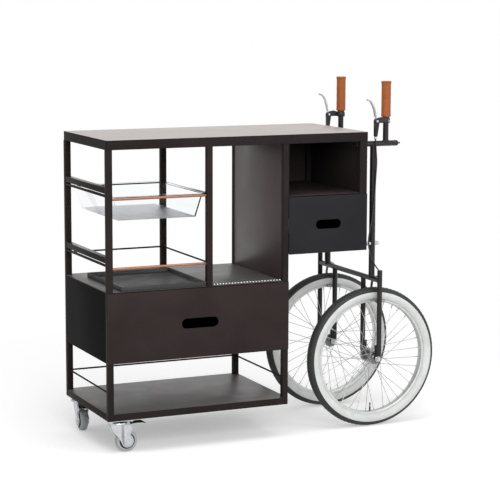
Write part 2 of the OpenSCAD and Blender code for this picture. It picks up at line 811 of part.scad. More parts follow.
module at_wheel(side) place() handed(side) translate([axle_x, -wheel_y, axle_z]) rotate([90, 0, 0]) children();

// Half section of the rim: two flanges and a well between them, radius along X.
module rim_section() {
    w = rim_w / 2;
    polygon([
        [rim_in, -w + 4], [rim_in + 3, -w], [rim_r, -w], [rim_r, -w + 2], [rim_in + 6, -w + 2.5],
        [rim_in + 4, -w + 6], [rim_in + 4, w - 6], [rim_in + 6, w - 2.5], [rim_r, w - 2], [rim_r, w],
        [rim_in + 3, w], [rim_in, w - 4]
    ]);
}

// Open casing whose beads sit inside the rim flanges.
module tyre(side) color(rubber) at_wheel(side) rotate_extrude() difference() {
    translate([tyre_c, 0]) circle(r = tyre_r);
    translate([tyre_c, 0]) circle(r = tyre_r - tyre_t);
    translate([rim_in, -rim_w / 2 + 5]) square([rim_h + 12, rim_w - 10]);
    translate([rim_in, -rim_w / 2 - 20]) square([rim_h + eps, rim_w + 40]);
}

module tyre_front() tyre(FRONT);

module tyre_back() tyre(BACK);

// Rim with its valve stem.
module rim(side) color(steel) at_wheel(side) {
    rotate_extrude() rim_section();
    translate([0, -rim_in - 1, 0]) rotate([-90, 0, 0]) cylinder(d = 6, h = valve_l);
}

module rim_front() rim(FRONT);

module rim_back() rim(BACK);

module hub(side) color(steel) at_wheel(side) rotate_extrude() {
    half = hub_w / 2 - 0.2;
    bore = axle_d / 2 + fit;
    f0 = flange_y - flange_t / 2;
    f1 = flange_y + flange_t / 2;
    polygon([
        [bore, -half], [9, -half], [9, -f1 - 4], [15, -f1], [flange_r, -f1], [flange_r, -f0], [15, -f0],
        [13, 0], [15, f0], [flange_r, f0], [flange_r, f1], [15, f1], [9, f1 + 4], [9, half], [bore, half]
    ]);
}

module hub_front() hub(FRONT);

module hub_back() hub(BACK);

// Crossed spokes from the two hub flanges to the rim, laced alternately either way.
module spokes(side) color(steel) at_wheel(side)
    for (i = [0:spoke_n - 1]) {
        face = i % 2 == 0 ? 1 : -1;
        lead = floor(i / 2) % 2 == 0 ? 1 : -1;
        at_rim = 360 * (i + 0.5) / spoke_n;
        at_hub = at_rim + lead * 62;
        y = face * (flange_y + lead * (flange_t / 2 + spoke_d / 2 - 0.4));
        round_bar([(flange_r - 3) * cos(at_hub), (flange_r - 3) * sin(at_hub), y],
            [(rim_in + 1) * cos(at_rim), (rim_in + 1) * sin(at_rim), face * (3 + lead * 0.6 * spoke_d)], spoke_d);
    }

module spokes_front() spokes(FRONT);

module spokes_back() spokes(BACK);

// Casters

function swivel(side) = side == FRONT
    ? [caster_in, y_front + caster_in, 0]
    : [back_in_x, y_back - back_in_y, 0];

// Caster frame of reference: swivel axis at the origin, trailing along +X.
module at_caster(side) place() translate(swivel(side))
    rotate([0, 0, side == FRONT ? turn_front : turn_back]) children();

// Fixed plates under the frame's corners with bearing cup, kingpin and its nut.
module caster_plates() color(steel) place() for (side = [FRONT, BACK]) {
    translate([plate_edge, side * (cab_d / 2 - plate_edge - plate_w / 2) - plate_w / 2, caster_h - plate_t])
        cube([plate_w, plate_w, plate_t]);
    translate(swivel(side)) {
        translate([0, 0, caster_h - plate_t - cup_h]) cylinder(r = cup_r, h = cup_h + eps);
        translate([0, 0, crown_z - crown_t - slack]) cylinder(r = kingpin_r, h = crown_t + cup_h);
        translate([0, 0, crown_z - crown_t - slack - 5]) cylinder(r = 10, h = 5 + eps, $fn = 6);
    }
}

// Cheek that narrows from the crown and ends in a round tongue over the wheel's middle.
module caster_cheek() linear_extrude(cheek_t, center = true) {
    side = tongue_r * 0.98;
    left = [1 - crown_r, crown_z];
    translate([trail, caster_r]) circle(r = tongue_r);
    polygon([
        left, left + [cheek_slope.x, -cheek_slope.y], left + [cheek_knee.x, -cheek_knee.y],
        [trail - side, caster_r - 4], [trail + side, caster_r + 4],
        [pedal_x + 17, pedal_z - 29], [pedal_x + 11.5, pedal_z], [pedal_x + 11, crown_z]
    ]);
}

// Crown with two cheeks, the wheel's axle with its nuts and the pedal's pin.
module caster_fork(side) color(steel) at_caster(side) {
    difference() {
        union() {
            translate([0, 0, crown_z - crown_t]) cylinder(r = crown_r, h = crown_t);
            for (s = [-1, 1]) translate([0, s * (cheek_y + cheek_t / 2), 0]) rotate([90, 0, 0]) caster_cheek();
        }
        translate([0, 0, crown_z - crown_t - 1]) cylinder(r = kingpin_r + fit, h = crown_t + 2);
    }
    translate([trail, 0, caster_r]) rotate([90, 0, 0]) {
        cylinder(r = caster_axle_r, h = 2 * (cheek_y + cheek_t), center = true);
        for (s = [-1, 1]) translate([0, 0, s * (cheek_y + cheek_t + 2.5 - eps)])
            cylinder(r = 6.5, h = 5, center = true, $fn = 6);
    }
    translate([pedal_x, 0, pedal_z]) rotate([90, 0, 0])
        cylinder(r = pedal_pin_r, h = 2 * (cheek_y + cheek_t), center = true);
}

module caster_fork_front() caster_fork(FRONT);

module caster_fork_back() caster_fork(BACK);

// Wheel with a rounded tread.
module caster_wheel(side) color([0.68, 0.69, 0.70]) at_caster(side)
    translate([trail, 0, caster_r]) rotate([90, 0, 0]) rotate_extrude() {
        w = caster_w / 2;
        polygon([
            [caster_axle_r + fit, -w - 1.5], [9, -w - 1.5], [10, -w + 3], [caster_r - 14, -w + 3],
            [caster_r - 12, -w], [caster_r - 4, -w], [caster_r - 1, -w + 3], [caster_r, -w + 7],
            [caster_r, w - 7], [caster_r - 1, w - 3], [caster_r - 4, w], [caster_r - 12, w],
            [caster_r - 14, w - 3], [10, w - 3], [9, w + 1.5], [caster_axle_r + fit, w + 1.5]
        ]);
    }

module caster_wheel_front() caster_wheel(FRONT);

module caster_wheel_back() caster_wheel(BACK);

// Brake pedal: a hub on the fork's pin, a shoe over the wheel and a tread plate.
module pedal_shape() rotate([90, 0, 0]) {
    w = cheek_y - slack;
    top = pedal_r - 1;
    tip = pedal_reach - pedal_x;
    difference() {
        linear_extrude(2 * w, center = true) {
            circle(r = pedal_r);
            polygon([[8, -16], [14, -15], [5, -1], [-5, -1]]);
            polygon([
                [14, top - 4], [40, top - 2], [tip - 10, top - 3], [tip - 1, top - 6],
                [tip, top - 4], [tip - 8, top], [40, top + 1], [0, top], [0, 0]
            ]);
        }
        cylinder(r = pedal_pin_r + fit, h = 2 * w + 2, center = true);
    }
}

module caster_pedal_front() color(charcoal) at_caster(FRONT) translate([pedal_x, 0, pedal_z]) pedal_shape();

module caster_pedal_back() color(charcoal) at_caster(BACK) translate([pedal_x, 0, pedal_z]) pedal_shape();

front_posts();
back_posts();
base_rails();
shelf_plate();
guard_rods();
housing_panels();
deck_rails();
deck_plate();
slide_channels();
low_drawer_front();
low_drawer_box();
small_drawer_front();
small_drawer_box();
copper_rails();
gallery_rods();
end_rails();
bottle_tub();
bottle_tray();
deck_trim();
apron();
worktop();
side_panel();
right_stiles();
right_wall();
cabinet_back();
cabinet_floors();
cross_bar();
fork_legs_front();
fork_legs_back();
stem_front();
stem_back();
wall_spacers();
axles();
grip_front();
grip_back();
lever_clamp_front();
lever_clamp_back();
lever_front();
lever_back();
cable_front();
cable_back();
arm_front_out();
arm_front_in();
arm_back_out();
arm_back_in();
tyre_front();
tyre_back();
rim_front();
rim_back();
hub_front();
hub_back();
spokes_front();
spokes_back();
caster_plates();
caster_fork_front();
caster_fork_back();
caster_wheel_front();
caster_wheel_back();
caster_pedal_front();
caster_pedal_back();
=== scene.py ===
"""Looks of the mobile bar unit: coated steel frame and drawers, spoked wheels with rim brakes, leather
grips and casters."""

import json
import math

import bmesh
import bpy
from mathutils import Matrix, Vector


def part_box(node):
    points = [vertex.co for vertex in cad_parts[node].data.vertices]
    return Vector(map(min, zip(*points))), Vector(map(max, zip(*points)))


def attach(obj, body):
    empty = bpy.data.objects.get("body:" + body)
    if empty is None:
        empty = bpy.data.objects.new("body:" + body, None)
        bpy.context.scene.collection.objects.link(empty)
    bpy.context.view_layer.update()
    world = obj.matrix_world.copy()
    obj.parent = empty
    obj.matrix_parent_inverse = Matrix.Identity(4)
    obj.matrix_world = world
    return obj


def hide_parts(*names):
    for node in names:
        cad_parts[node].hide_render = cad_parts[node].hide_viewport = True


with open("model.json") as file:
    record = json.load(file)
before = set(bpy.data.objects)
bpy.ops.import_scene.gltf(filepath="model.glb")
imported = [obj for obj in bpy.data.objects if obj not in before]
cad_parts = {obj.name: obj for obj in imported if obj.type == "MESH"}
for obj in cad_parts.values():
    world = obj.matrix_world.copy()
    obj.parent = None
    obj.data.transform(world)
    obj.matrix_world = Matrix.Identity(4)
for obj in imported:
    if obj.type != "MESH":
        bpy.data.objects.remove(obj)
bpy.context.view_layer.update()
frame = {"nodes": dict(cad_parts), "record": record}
cad_nodes = frame["nodes"]
body_of = {node: body for body, nodes in frame["record"]["behaviour"]["bodies"].items() for node in nodes}
slot_of = {part["node"]: part["material_slot"] for part in frame["record"]["subparts"]}
scene = bpy.context.scene

# Sizes and places are in millimetres: X from the left end of the frame, Y from the middle, Z from the
# floor. Meshes are in metres, and so are the finishes' widths and depths.
LEFT_END = -629.5
# Each side of the cart with its sign along Y, which is s in the functions below.
SIDES = {"front": -1, "back": 1}
# Middles of the frame's posts, half their tube, and the heights of the rods between them.
LEFT_POST, MIDDLE_POST, RIGHT_POST, POST_Y, HALF_TUBE = 10, 367, 650, 210, 10
GUARD_Z, GALLERY_Z, COPPER_Z = 211, (631.5, 862.5), (630, 861)
# Bicycle wheels, their fork legs and the bar over both.
AXLE_X, AXLE_Z, WHEEL_Y = 1009.0, 250.0, 172.5
LEG_Y, LEG_Z, LEG_TOP = 61.0, 261.5, 569.0
BOLT_Z, FORK_R = 532.0, 9.0
BAR_TOP = BOLT_Z + FORK_R
# Steering tubes, handle tubes with the grips' uprights, and the cabinet wall that holds them.
STEM_R, HANDLE_R, HANDLE_Z, HANDLE_END = 11.0, 10.0, 1010.0, 1103.0
UPRIGHT_X, GRIP_Z, WALL_X, SPACER_Z = 1058.0, 1104.0, 961.0, 657.0
# Brake levers with their barrels, and the wire down to the calipers.
LEVER_Y, CLAMP_Z, PIVOT_X, PIVOT_Z = 186.5, 1082.0, 1014.0, 1089.5
BARREL_X, BARREL_Z, BARREL_LENGTH = PIVOT_X - 4, CLAMP_Z - 46, 8.0
WIRE_X, WIRE_Y = AXLE_X + 19.5, WHEEL_Y + 22.0
PAD_Z, PAD_SCREW_Y, PAD_SCREW_X = 455.0, 30.2, {"out": 1023.0, "in": 1028.5}
# Steps round a tyre or rim.
WHEEL_STEPS = 176
# Casters: each kingpin's place and turn in degrees, the wheel's trail and radius, and the plates' middles.
CASTERS = {"front": (51.0, -169.0, 0.0), "back": (42.0, 193.0, -95.0)}
TRAIL, CASTER_R = 29.0, 37.5
PLATE_X, PLATE_Y, PLATE_BOLT = 51.0, 169.0, 36.0

ALONG_X = Matrix.Rotation(math.radians(90), 3, "Y")
ALONG_Y = Matrix.Rotation(math.radians(-90), 3, "X")
TOWARDS_Y = {1: ALONG_Y, -1: Matrix.Rotation(math.radians(90), 3, "X")}
UPRIGHT = Matrix.Identity(3)


def at(x, y, z):
    """A place in the frame, from millimetres to metres."""
    return Vector(((x + LEFT_END) / 1000, y / 1000, z / 1000))


def shift(x, y, z):
    """A step in the frame, or a place on a caster, from millimetres to metres."""
    return Vector((x, y, z)) / 1000


def clock(count):
    """Angles once round, in radians."""
    return [2 * math.pi * k / count for k in range(count)]


def sweep(first, end, step):
    """Angles in radians from whole degrees, which stop before end."""
    return [math.radians(degrees) for degrees in range(first, end, step)]


def arc(radius, angles, x=0, up=0):
    """Points of an outline on a circle about (x, up)."""
    return [(x + radius * math.cos(a), up + radius * math.sin(a)) for a in angles]


def mirrored(half, *middle):
    """Section of (radius, offset) from its one half and the points in its middle."""
    return [(radius, -offset) for radius, offset in half] + list(middle) + half[::-1]


def add_object(name, data):
    thing = bpy.data.objects.new(name, data)
    scene.collection.objects.link(thing)
    return thing


def feed(node, inputs):
    """Fills a node's inputs, by label or number: with a constant, another node's output to join, or a node
    that stands for its first output."""
    for label, value in inputs.items():
        if isinstance(value, bpy.types.Node):
            value = value.outputs[0]
        if isinstance(value, bpy.types.NodeSocket):
            node.id_data.links.new(value, node.inputs[label])
        else:
            node.inputs[label].default_value = value


def add_node(tree, kind, inputs=None, **settings):
    """New node with its settings and inputs."""
    node = tree.nodes.new(kind)
    for key, value in settings.items():
        setattr(node, key, value)
    feed(node, inputs or {})
    return node


def add_math(tree, operation, *values):
    """Math node on numbers and outputs."""
    return add_node(tree, "ShaderNodeMath", dict(enumerate(values)), operation=operation)


def empty_tree(owner):
    """Node tree of a material or a world, with nothing in it yet."""
    owner.use_nodes = True
    owner.node_tree.nodes.clear()
    return owner.node_tree


def photo_camera():
    """Camera solved from the straight edges of the cart and both wheels. Its sizes are in pixels."""
    picture, focal, middle_x, middle_y = 500, 1774.84, 248.42, 246.25
    yaw, pitch, roll = math.radians(24.3104), math.radians(8.2073), math.radians(0.1728)
    stand = Vector((-2.5770, -5.6563, 1.5412))
    ahead = Vector((math.sin(yaw) * math.cos(pitch), math.cos(yaw) * math.cos(pitch), -math.sin(pitch)))
    right = Vector((math.cos(yaw), -math.sin(yaw), 0))
    up = right.cross(ahead)
    turned_right = right * math.cos(roll) + up * math.sin(roll)
    turned_up = up * math.cos(roll) - right * math.sin(roll)
    data = bpy.data.cameras.new("photo_camera")
    data.sensor_width = 36
    data.lens = data.sensor_width * focal / picture
    data.shift_x = (picture / 2 - middle_x) / picture
    data.shift_y = (middle_y - picture / 2) / picture
    data.clip_end = 60
    scene.camera = add_object("photo_camera", data)
    turn = Matrix((turned_right, turned_up, -ahead)).transposed().to_4x4()
    scene.camera.matrix_world = Matrix.Translation(stand) @ turn


def soft_lamp(name, place, target, size, power):
    """Rectangular lamp that faces its target."""
    data = bpy.data.lights.new(name, "AREA")
    data.shape = "RECTANGLE"
    data.size, data.size_y = size
    data.energy = power
    lamp = add_object(name, data)
    lamp.location = place
    lamp.rotation_euler = (Vector(target) - Vector(place)).to_track_quat("-Z", "Y").to_euler()


def shown_directly(tree):
    """1 for the rays that show the background itself: camera, glossy and transmission rays."""
    path = add_node(tree, "ShaderNodeLightPath").outputs
    shown = add_math(tree, "MAXIMUM", path["Is Camera Ray"], path["Is Glossy Ray"])
    return add_math(tree, "MAXIMUM", shown, path["Is Transmission Ray"])


def studio_world():
    """Even light on the cart, in front of a white background."""
    world = bpy.data.worlds.new("studio")
    scene.world = world
    tree = empty_tree(world)
    light, white = [
        add_node(tree, "ShaderNodeBackground", {"Color": (1, 1, 1, 1), "Strength": strength})
        for strength in (0.42, 1.0)]
    mix = add_node(tree, "ShaderNodeMixShader", {0: shown_directly(tree), 1: light, 2: white})
    add_node(tree, "ShaderNodeOutputWorld", {0: mix})


def paper_material():
    """White paper that fades into the background away from the cart."""
    paper = bpy.data.materials.new("studio_paper")
    tree = empty_tree(paper)
    direct = shown_directly(tree)
    matt = add_node(tree, "ShaderNodeBsdfDiffuse", {"Color": (0.83, 0.83, 0.83, 1)})
    glow = add_node(tree, "ShaderNodeEmission", {"Strength": add_math(tree, "MULTIPLY", direct, 0.34)})
    near = add_node(tree, "ShaderNodeAddShader", {0: matt, 1: glow})
    where = add_node(tree, "ShaderNodeTexCoord").outputs["Object"]
    distance = add_node(tree, "ShaderNodeVectorMath", {0: where}, operation="LENGTH").outputs["Value"]
    fade = add_node(tree, "ShaderNodeMapRange", {"Value": distance, "From Min": 0.8, "From Max": 2.1},
                    interpolation_type="SMOOTHSTEP")
    far_share = add_math(tree, "MULTIPLY", direct, fade)
    far = add_node(tree, "ShaderNodeEmission")
    mix = add_node(tree, "ShaderNodeMixShader", {0: far_share, 1: near, 2: far})
    add_node(tree, "ShaderNodeOutputMaterial", {"Surface": mix})
    return paper


def studio_floor():
    """Floor that takes the cart's shadow, just under the wheels."""
    half_size, drop = 26, 0.0005
    bm = bmesh.new()
    bmesh.ops.create_grid(bm, x_segments=2, y_segments=2, size=half_size)
    bmesh.ops.translate(bm, verts=bm.verts, vec=(0, 0, -drop))
    add_object("studio_floor", finished(bm, paper_material()))


def studio():
    """White photo studio with three soft lamps."""
    scene.view_settings.view_transform = "Standard"
    studio_world()
    studio_floor()
    soft_lamp("overhead", (-0.3, -0.6, 3.4), target=(0, 0, 0.6), size=(3.2, 2.4), power=62)
    soft_lamp("front", (-0.9, -4.4, 2.4), target=(0, 0, 0.7), size=(3.0, 2.0), power=104)
    soft_lamp("right_front", (3.0, -3.0, 1.9), target=(0.2, 0, 0.6), size=(1.6, 2.2), power=16)


class Finish:
    """A material with one Principled shader, and short ways to its usual nodes."""

    def __init__(self, name):
        self.material = bpy.data.materials.new(name)
        self.tree = empty_tree(self.material)
        self.shader = self.add("ShaderNodeBsdfPrincipled")
        self.add("ShaderNodeOutputMaterial", {"Surface": self.shader})

    def add(self, kind, inputs=None, **settings):
        return add_node(self.tree, kind, inputs, **settings)

    def shade(self, **inputs):
        """Fills the shader's inputs, with an underscore for each space in a label."""
        feed(self.shader, {label.replace("_", " "): value for label, value in inputs.items()})

    def group(self, tree, **values):
        """Outputs of a shader group that is placed with its own values."""
        return self.add("ShaderNodeGroup", values, node_tree=tree).outputs

    def cells(self, scale, **settings):
        """Distance from the middles of small cells."""
        where = self.add("ShaderNodeTexCoord").outputs["Object"]
        return self.add("ShaderNodeTexVoronoi", {"Vector": where, "Scale": scale}, **settings)

    def blend(self, factor, first, second):
        """Colour that goes from first to second with factor. Each is a colour or an output."""
        first_colour, second_colour, result = 6, 7, 2
        ends = [(*end, 1) if isinstance(end, tuple) else end for end in (first, second)]
        inputs = {"Factor": factor, first_colour: ends[0], second_colour: ends[1]}
        return self.add("ShaderNodeMix", inputs, data_type="RGBA").outputs[result]

    def span(self, factor, low, high):
        """Value that goes from low to high with factor."""
        return self.add("ShaderNodeMapRange", {"Value": factor, "To Min": low, "To Max": high})

    def relief(self, height, depth):
        bump = self.add("ShaderNodeBump", {"Height": height, "Strength": 1.0, "Distance": depth})
        self.shade(Normal=bump)


SOCKET_KINDS = {float: "NodeSocketFloat", int: "NodeSocketInt", tuple: "NodeSocketVector"}


def name_inputs(tree, values):
    """Gives a tree its named inputs with their usual values."""
    for label, value in values.items():
        socket = tree.interface.new_socket(label, in_out="INPUT", socket_type=SOCKET_KINDS[type(value)])
        socket.default_value = value


def shader_group(name, values, *masks):
    """Shader group with named inputs and masks, the inputs it is given, and its last node."""
    tree = bpy.data.node_groups.new(name, "ShaderNodeTree")
    name_inputs(tree, values)
    for label in masks:
        tree.interface.new_socket(label, in_out="OUTPUT", socket_type="NodeSocketFloat")
    return tree, add_node(tree, "NodeGroupInput").outputs, add_node(tree, "NodeGroupOutput")


def mask(tree, source, low, high):
    """0 where source is low, 1 where it is high."""
    return add_node(tree, "ShaderNodeMapRange", {"Value": source, "From Min": low, "From Max": high})


def object_noise(tree, inputs, stretch=None):
    """Noise on Object coordinates, which stretch multiplies."""
    where = add_node(tree, "ShaderNodeTexCoord").outputs["Object"]
    if stretch is not None:
        where = add_node(tree, "ShaderNodeVectorMath", {0: where, 1: stretch}, operation="MULTIPLY")
    return add_node(tree, "ShaderNodeTexNoise", {"Vector": where, **inputs})


def speckle_group():
    """Fine even speckle, as in powder coat or cast rubber."""
    tree, given, made = shader_group("fine_speckle", {"Scale": 900.0}, "Mask", "Height")
    noise = object_noise(tree, {"Scale": given["Scale"], "Detail": 3, "Roughness": 0.6})
    feed(made, {"Mask": mask(tree, noise, 0.3, 0.7), "Height": noise})
    return tree


def smudge_group():
    """Broad soft patches left by hands and cloths."""
    tree, given, made = shader_group("hand_smudges", {"Scale": 5.0}, "Mask")
    noise = object_noise(tree, {"Scale": given["Scale"], "Detail": 4, "Distortion": 0.8})
    feed(made, {"Mask": mask(tree, noise, 0.35, 0.68)})
    return tree


def streak_group():
    """Brush lines: noise stretched along the axis whose stretch is small."""
    tree, given, made = shader_group("brush_streaks", {"Stretch": (6.0, 700.0, 700.0)}, "Mask", "Height")
    noise = object_noise(tree, {"Scale": 1.0, "Detail": 2}, given["Stretch"])
    feed(made, {"Mask": mask(tree, noise, 0.3, 0.7), "Height": noise})
    return tree


def rub_group():
    """Rubbed edges: where the rounded normal leaves the face's own normal, broken up by noise."""
    tree, given, made = shader_group("rubbed_edges", {"Width": 0.0015}, "Mask")
    round_off = add_node(tree, "ShaderNodeBevel", {"Radius": given["Width"]}, samples=4)
    face = add_node(tree, "ShaderNodeNewGeometry").outputs["Normal"]
    match = add_node(tree, "ShaderNodeVectorMath", {0: round_off, 1: face}, operation="DOT_PRODUCT")
    edge = mask(tree, match.outputs["Value"], 0.995, 0.86)
    broken = mask(tree, object_noise(tree, {"Scale": 60, "Detail": 4}), 0.42, 0.62)
    feed(made, {"Mask": add_math(tree, "MULTIPLY", edge, broken)})
    return tree


SPECKLE, SMUDGE, STREAK, RUB = speckle_group(), smudge_group(), streak_group(), rub_group()


def coated_steel(name, dark, light, worn, rough, gloss, edge=0.0008, sheen=(1, 1, 1)):
    """Powder coat: speckle and smudges in the colour, orange peel in the relief, rubbed edges."""
    speckle_share = 0.45
    coat = Finish(name)
    speckle = coat.group(SPECKLE, Scale=1400.0)
    smudge = coat.group(SMUDGE, Scale=4.0)["Mask"]
    rub = coat.group(RUB, Width=edge)["Mask"]
    patches = add_math(coat.tree, "MULTIPLY", smudge, 1 - speckle_share)
    both = add_math(coat.tree, "MULTIPLY_ADD", speckle["Mask"], speckle_share, patches)
    coat.shade(Base_Color=coat.blend(rub, coat.blend(both, dark, light), worn),
               Roughness=coat.span(smudge, *rough), Specular_IOR_Level=gloss, Specular_Tint=(*sheen, 1))
    coat.relief(speckle["Height"], depth=0.00006)
    return coat.material


def brushed_metal(name, dark, light, rough, stretch, metallic=1.0):
    """Metal with brush lines in its colour, roughness and relief."""
    metal = Finish(name)
    streak = metal.group(STREAK, Stretch=stretch)
    smudge = metal.group(SMUDGE, Scale=7.0)["Mask"]
    both = add_math(metal.tree, "ADD", streak["Mask"], smudge)
    metal.shade(Base_Color=metal.blend(streak["Mask"], dark, light), Roughness=metal.span(both, *rough),
                Metallic=metallic)
    metal.relief(streak["Height"], depth=0.00002)
    return metal.material


def moulded(name, dark, light, rough, scale=700.0, depth=0.00008, gloss=0.5):
    """Rubber or plastic with a fine moulded speckle."""
    skin = Finish(name)
    speckle = skin.group(SPECKLE, Scale=scale)
    smudge = skin.group(SMUDGE, Scale=9.0)["Mask"]
    skin.shade(Base_Color=skin.blend(speckle["Mask"], dark, light), Roughness=skin.span(smudge, *rough),
               Specular_IOR_Level=gloss)
    skin.relief(speckle["Height"], depth)
    return skin.material


def zinc_plate():
    """Bright zinc with a faint spangle."""
    zinc = Finish("bright_zinc")
    smudge = zinc.group(SMUDGE, Scale=30.0)["Mask"]
    spangle = zinc.blend(zinc.cells(260), (0.46, 0.47, 0.49), (0.62, 0.63, 0.65))
    zinc.shade(Base_Color=spangle, Roughness=zinc.span(smudge, 0.24, 0.40), Metallic=0.9)
    return zinc.material


def grip_leather():
    """Terracotta leather: pebbled grain, darker in the hollows and towards the rubbed ends."""
    leather = Finish("terracotta_leather")
    pebble = leather.cells(620, feature="SMOOTH_F1")
    smudge = leather.group(SMUDGE, Scale=22.0)["Mask"]
    rub = leather.group(RUB, Width=0.002)["Mask"]
    worn = leather.blend(smudge, (0.33, 0.092, 0.019), (0.41, 0.132, 0.033))
    grain = leather.blend(pebble, worn, (0.25, 0.055, 0.013))
    leather.shade(Base_Color=leather.blend(rub, grain, (0.23, 0.042, 0.016)),
                  Roughness=leather.span(smudge, 0.42, 0.58), Specular_IOR_Level=0.25)
    leather.relief(pebble, depth=0.00015)
    return leather.material


def whitewall_rubber():
    """Off-white sidewall with faint patches of road dust."""
    rubber = Finish("whitewall_rubber")
    speckle = rubber.group(SPECKLE, Scale=500.0)
    smudge = rubber.group(SMUDGE, Scale=14.0)["Mask"]
    clean = rubber.blend(speckle["Mask"], (0.66, 0.68, 0.67), (0.74, 0.76, 0.75))
    rubber.shade(Base_Color=rubber.blend(smudge, clean, (0.60, 0.61, 0.59)),
                 Roughness=rubber.span(smudge, 0.45, 0.6))
    rubber.relief(speckle["Height"], depth=0.00005)
    return rubber.material


def clear_sheet(name, tint, rough):
    """Clear polycarbonate with faint wipe marks."""
    sheet = Finish(name)
    smudge = sheet.group(SMUDGE, Scale=16.0)["Mask"]
    sheet.shade(Base_Color=(*tint, 1), Roughness=sheet.span(smudge, *rough), IOR=1.06,
                Transmission_Weight=1.0)
    return sheet.material


def grey(value):
    return (value, value, value)


BLACK_COAT = coated_steel(
    "black_powder_coat", (0.018, 0.0145, 0.0141), (0.032, 0.0260, 0.0250), worn=(0.075, 0.068, 0.066),
    rough=(0.36, 0.48), gloss=0.015, edge=0.0012)
TUBE_COAT = coated_steel(
    "tube_enamel", (0.013, 0.0115, 0.0112), (0.022, 0.0195, 0.019), worn=(0.080, 0.074, 0.072),
    rough=(0.24, 0.34), gloss=0.30, edge=0.0012)
DRAWER_COAT = coated_steel(
    "drawer_coat", (0.024, 0.0176, 0.0172), (0.040, 0.0296, 0.029), worn=(0.10, 0.085, 0.08),
    rough=(0.40, 0.52), gloss=0.04)
# Painted shade: a darker, cooler copy of the drawer coat for the small drawer's front, which sits in the
# worktop's shade.
SHADED_SMALL_FRONT_COAT = coated_steel(
    "small_front_coat", (0.018, 0.0172, 0.0196), (0.027, 0.0258, 0.0294), worn=(0.09, 0.085, 0.085),
    rough=(0.40, 0.52), gloss=0.04)
# Painted shade: a darker copy of the black coat, for the end and back panels, the right wall's outside and
# the drawer boxes, which sit in shade.
SHADED_PANEL_COAT = coated_steel(
    "panel_coat", (0.008, 0.0074, 0.0074), (0.0135, 0.0127, 0.0127), worn=(0.08, 0.075, 0.075),
    rough=(0.50, 0.62), gloss=0.010)
BAY_COAT = coated_steel(
    "bay_panel_coat", (0.038, 0.0240, 0.0245), (0.056, 0.036, 0.037), worn=(0.10, 0.09, 0.09),
    rough=(0.34, 0.44), gloss=0.36, sheen=(1.0, 0.86, 0.88))
INNER_COAT = coated_steel(
    "cabinet_inner_coat", (0.030, 0.0225, 0.0235), (0.048, 0.037, 0.038), worn=(0.09, 0.08, 0.08),
    rough=(0.40, 0.52), gloss=0.12)
BRAKE_BLACK = coated_steel(
    "brake_enamel", grey(0.010), grey(0.017), worn=grey(0.16), rough=(0.26, 0.38), gloss=0.35)
TOP_GREY = brushed_metal(
    "worktop_grey", (0.32, 0.292, 0.282), (0.41, 0.378, 0.367), (0.34, 0.46), (5.0, 420.0, 420.0), 0.25)
SHELF_GREY = brushed_metal(
    "shelf_grey", (0.098, 0.090, 0.088), (0.152, 0.141, 0.137), (0.32, 0.46), (5.0, 420.0, 420.0), 0.35)
COPPER = brushed_metal(
    "copper_tube", (0.31, 0.132, 0.076), (0.41, 0.190, 0.120), (0.22, 0.36), (10.0, 500.0, 500.0))
CHROME = brushed_metal("bright_bead", grey(0.80), grey(0.90), (0.08, 0.20), (200.0, 200.0, 200.0))
BEAD_BED = brushed_metal(
    "bead_bed", (0.10, 0.095, 0.09), (0.17, 0.16, 0.155), (0.35, 0.5), (12.0, 400.0, 400.0), 0.6)
ZINC = zinc_plate()
# Painted shade: darker zinc for the slopes of the casters' pressed panels.
ZINC_SLOPE_SHADE = brushed_metal(
    "pressed_zinc", (0.25, 0.26, 0.28), (0.34, 0.35, 0.37), (0.32, 0.46), (60.0, 60.0, 60.0), 0.9)
CALIPER_ALLOY = brushed_metal(
    "caliper_alloy", (0.17, 0.17, 0.175), (0.27, 0.27, 0.275), (0.26, 0.42), (60.0, 60.0, 60.0), 0.9)
LEVER_ALLOY = brushed_metal(
    "lever_alloy", (0.40, 0.40, 0.41), (0.52, 0.52, 0.53), (0.18, 0.34), (300.0, 300.0, 14.0))
RIM_ALLOY = brushed_metal(
    "rim_alloy", (0.55, 0.555, 0.555), (0.64, 0.645, 0.645), (0.30, 0.46), (60.0, 900.0, 60.0))
# Painted shade: hub steel darkened overall for the hubs inside the fork legs. The valves' caps use it too.
SHADED_HUB_STEEL = brushed_metal(
    "hub_steel", (0.13, 0.13, 0.135), (0.22, 0.22, 0.225), (0.20, 0.36), (700.0, 30.0, 700.0))
SPOKE_STEEL = brushed_metal("spoke_wire", grey(0.33), grey(0.45), (0.16, 0.30), (90.0, 90.0, 90.0))
NIPPLE_STEEL = brushed_metal("nipple_nickel", grey(0.42), grey(0.56), (0.22, 0.36), (200.0, 200.0, 200.0))
CLEAR = clear_sheet("clear_polycarbonate", (0.97, 0.98, 0.985), (0.01, 0.06))
FROSTED = clear_sheet("scuffed_tub_floor", (0.63, 0.63, 0.65), (0.30, 0.45))
LEATHER = grip_leather()
WHITEWALL = whitewall_rubber()
LEATHER_DARK = moulded("neck_brown", (0.055, 0.017, 0.009), (0.10, 0.032, 0.016), (0.45, 0.6), 500.0)
TRAY_BLACK = moulded("tray_black", grey(0.011), grey(0.020), (0.5, 0.65))
PAD_GREY = moulded("pad_rubber", (0.33, 0.33, 0.335), (0.42, 0.42, 0.425), (0.6, 0.75))
CABLE_BLACK = moulded(
    "cable_sleeve", (0.010, 0.010, 0.011), (0.017, 0.017, 0.018), (0.32, 0.45), 900.0, 0.00003)
TREAD_BLACK = moulded(
    "tread_rubber", (0.022, 0.023, 0.023), (0.036, 0.037, 0.037), (0.62, 0.8), 420.0, 0.0002)
CASTER_GREY = moulded("caster_rubber", (0.36, 0.37, 0.38), (0.44, 0.45, 0.46), (0.5, 0.65), 600.0)
CASTER_CORE = moulded("caster_core", (0.56, 0.57, 0.58), (0.64, 0.65, 0.66), (0.3, 0.42), 500.0, 0.00004)
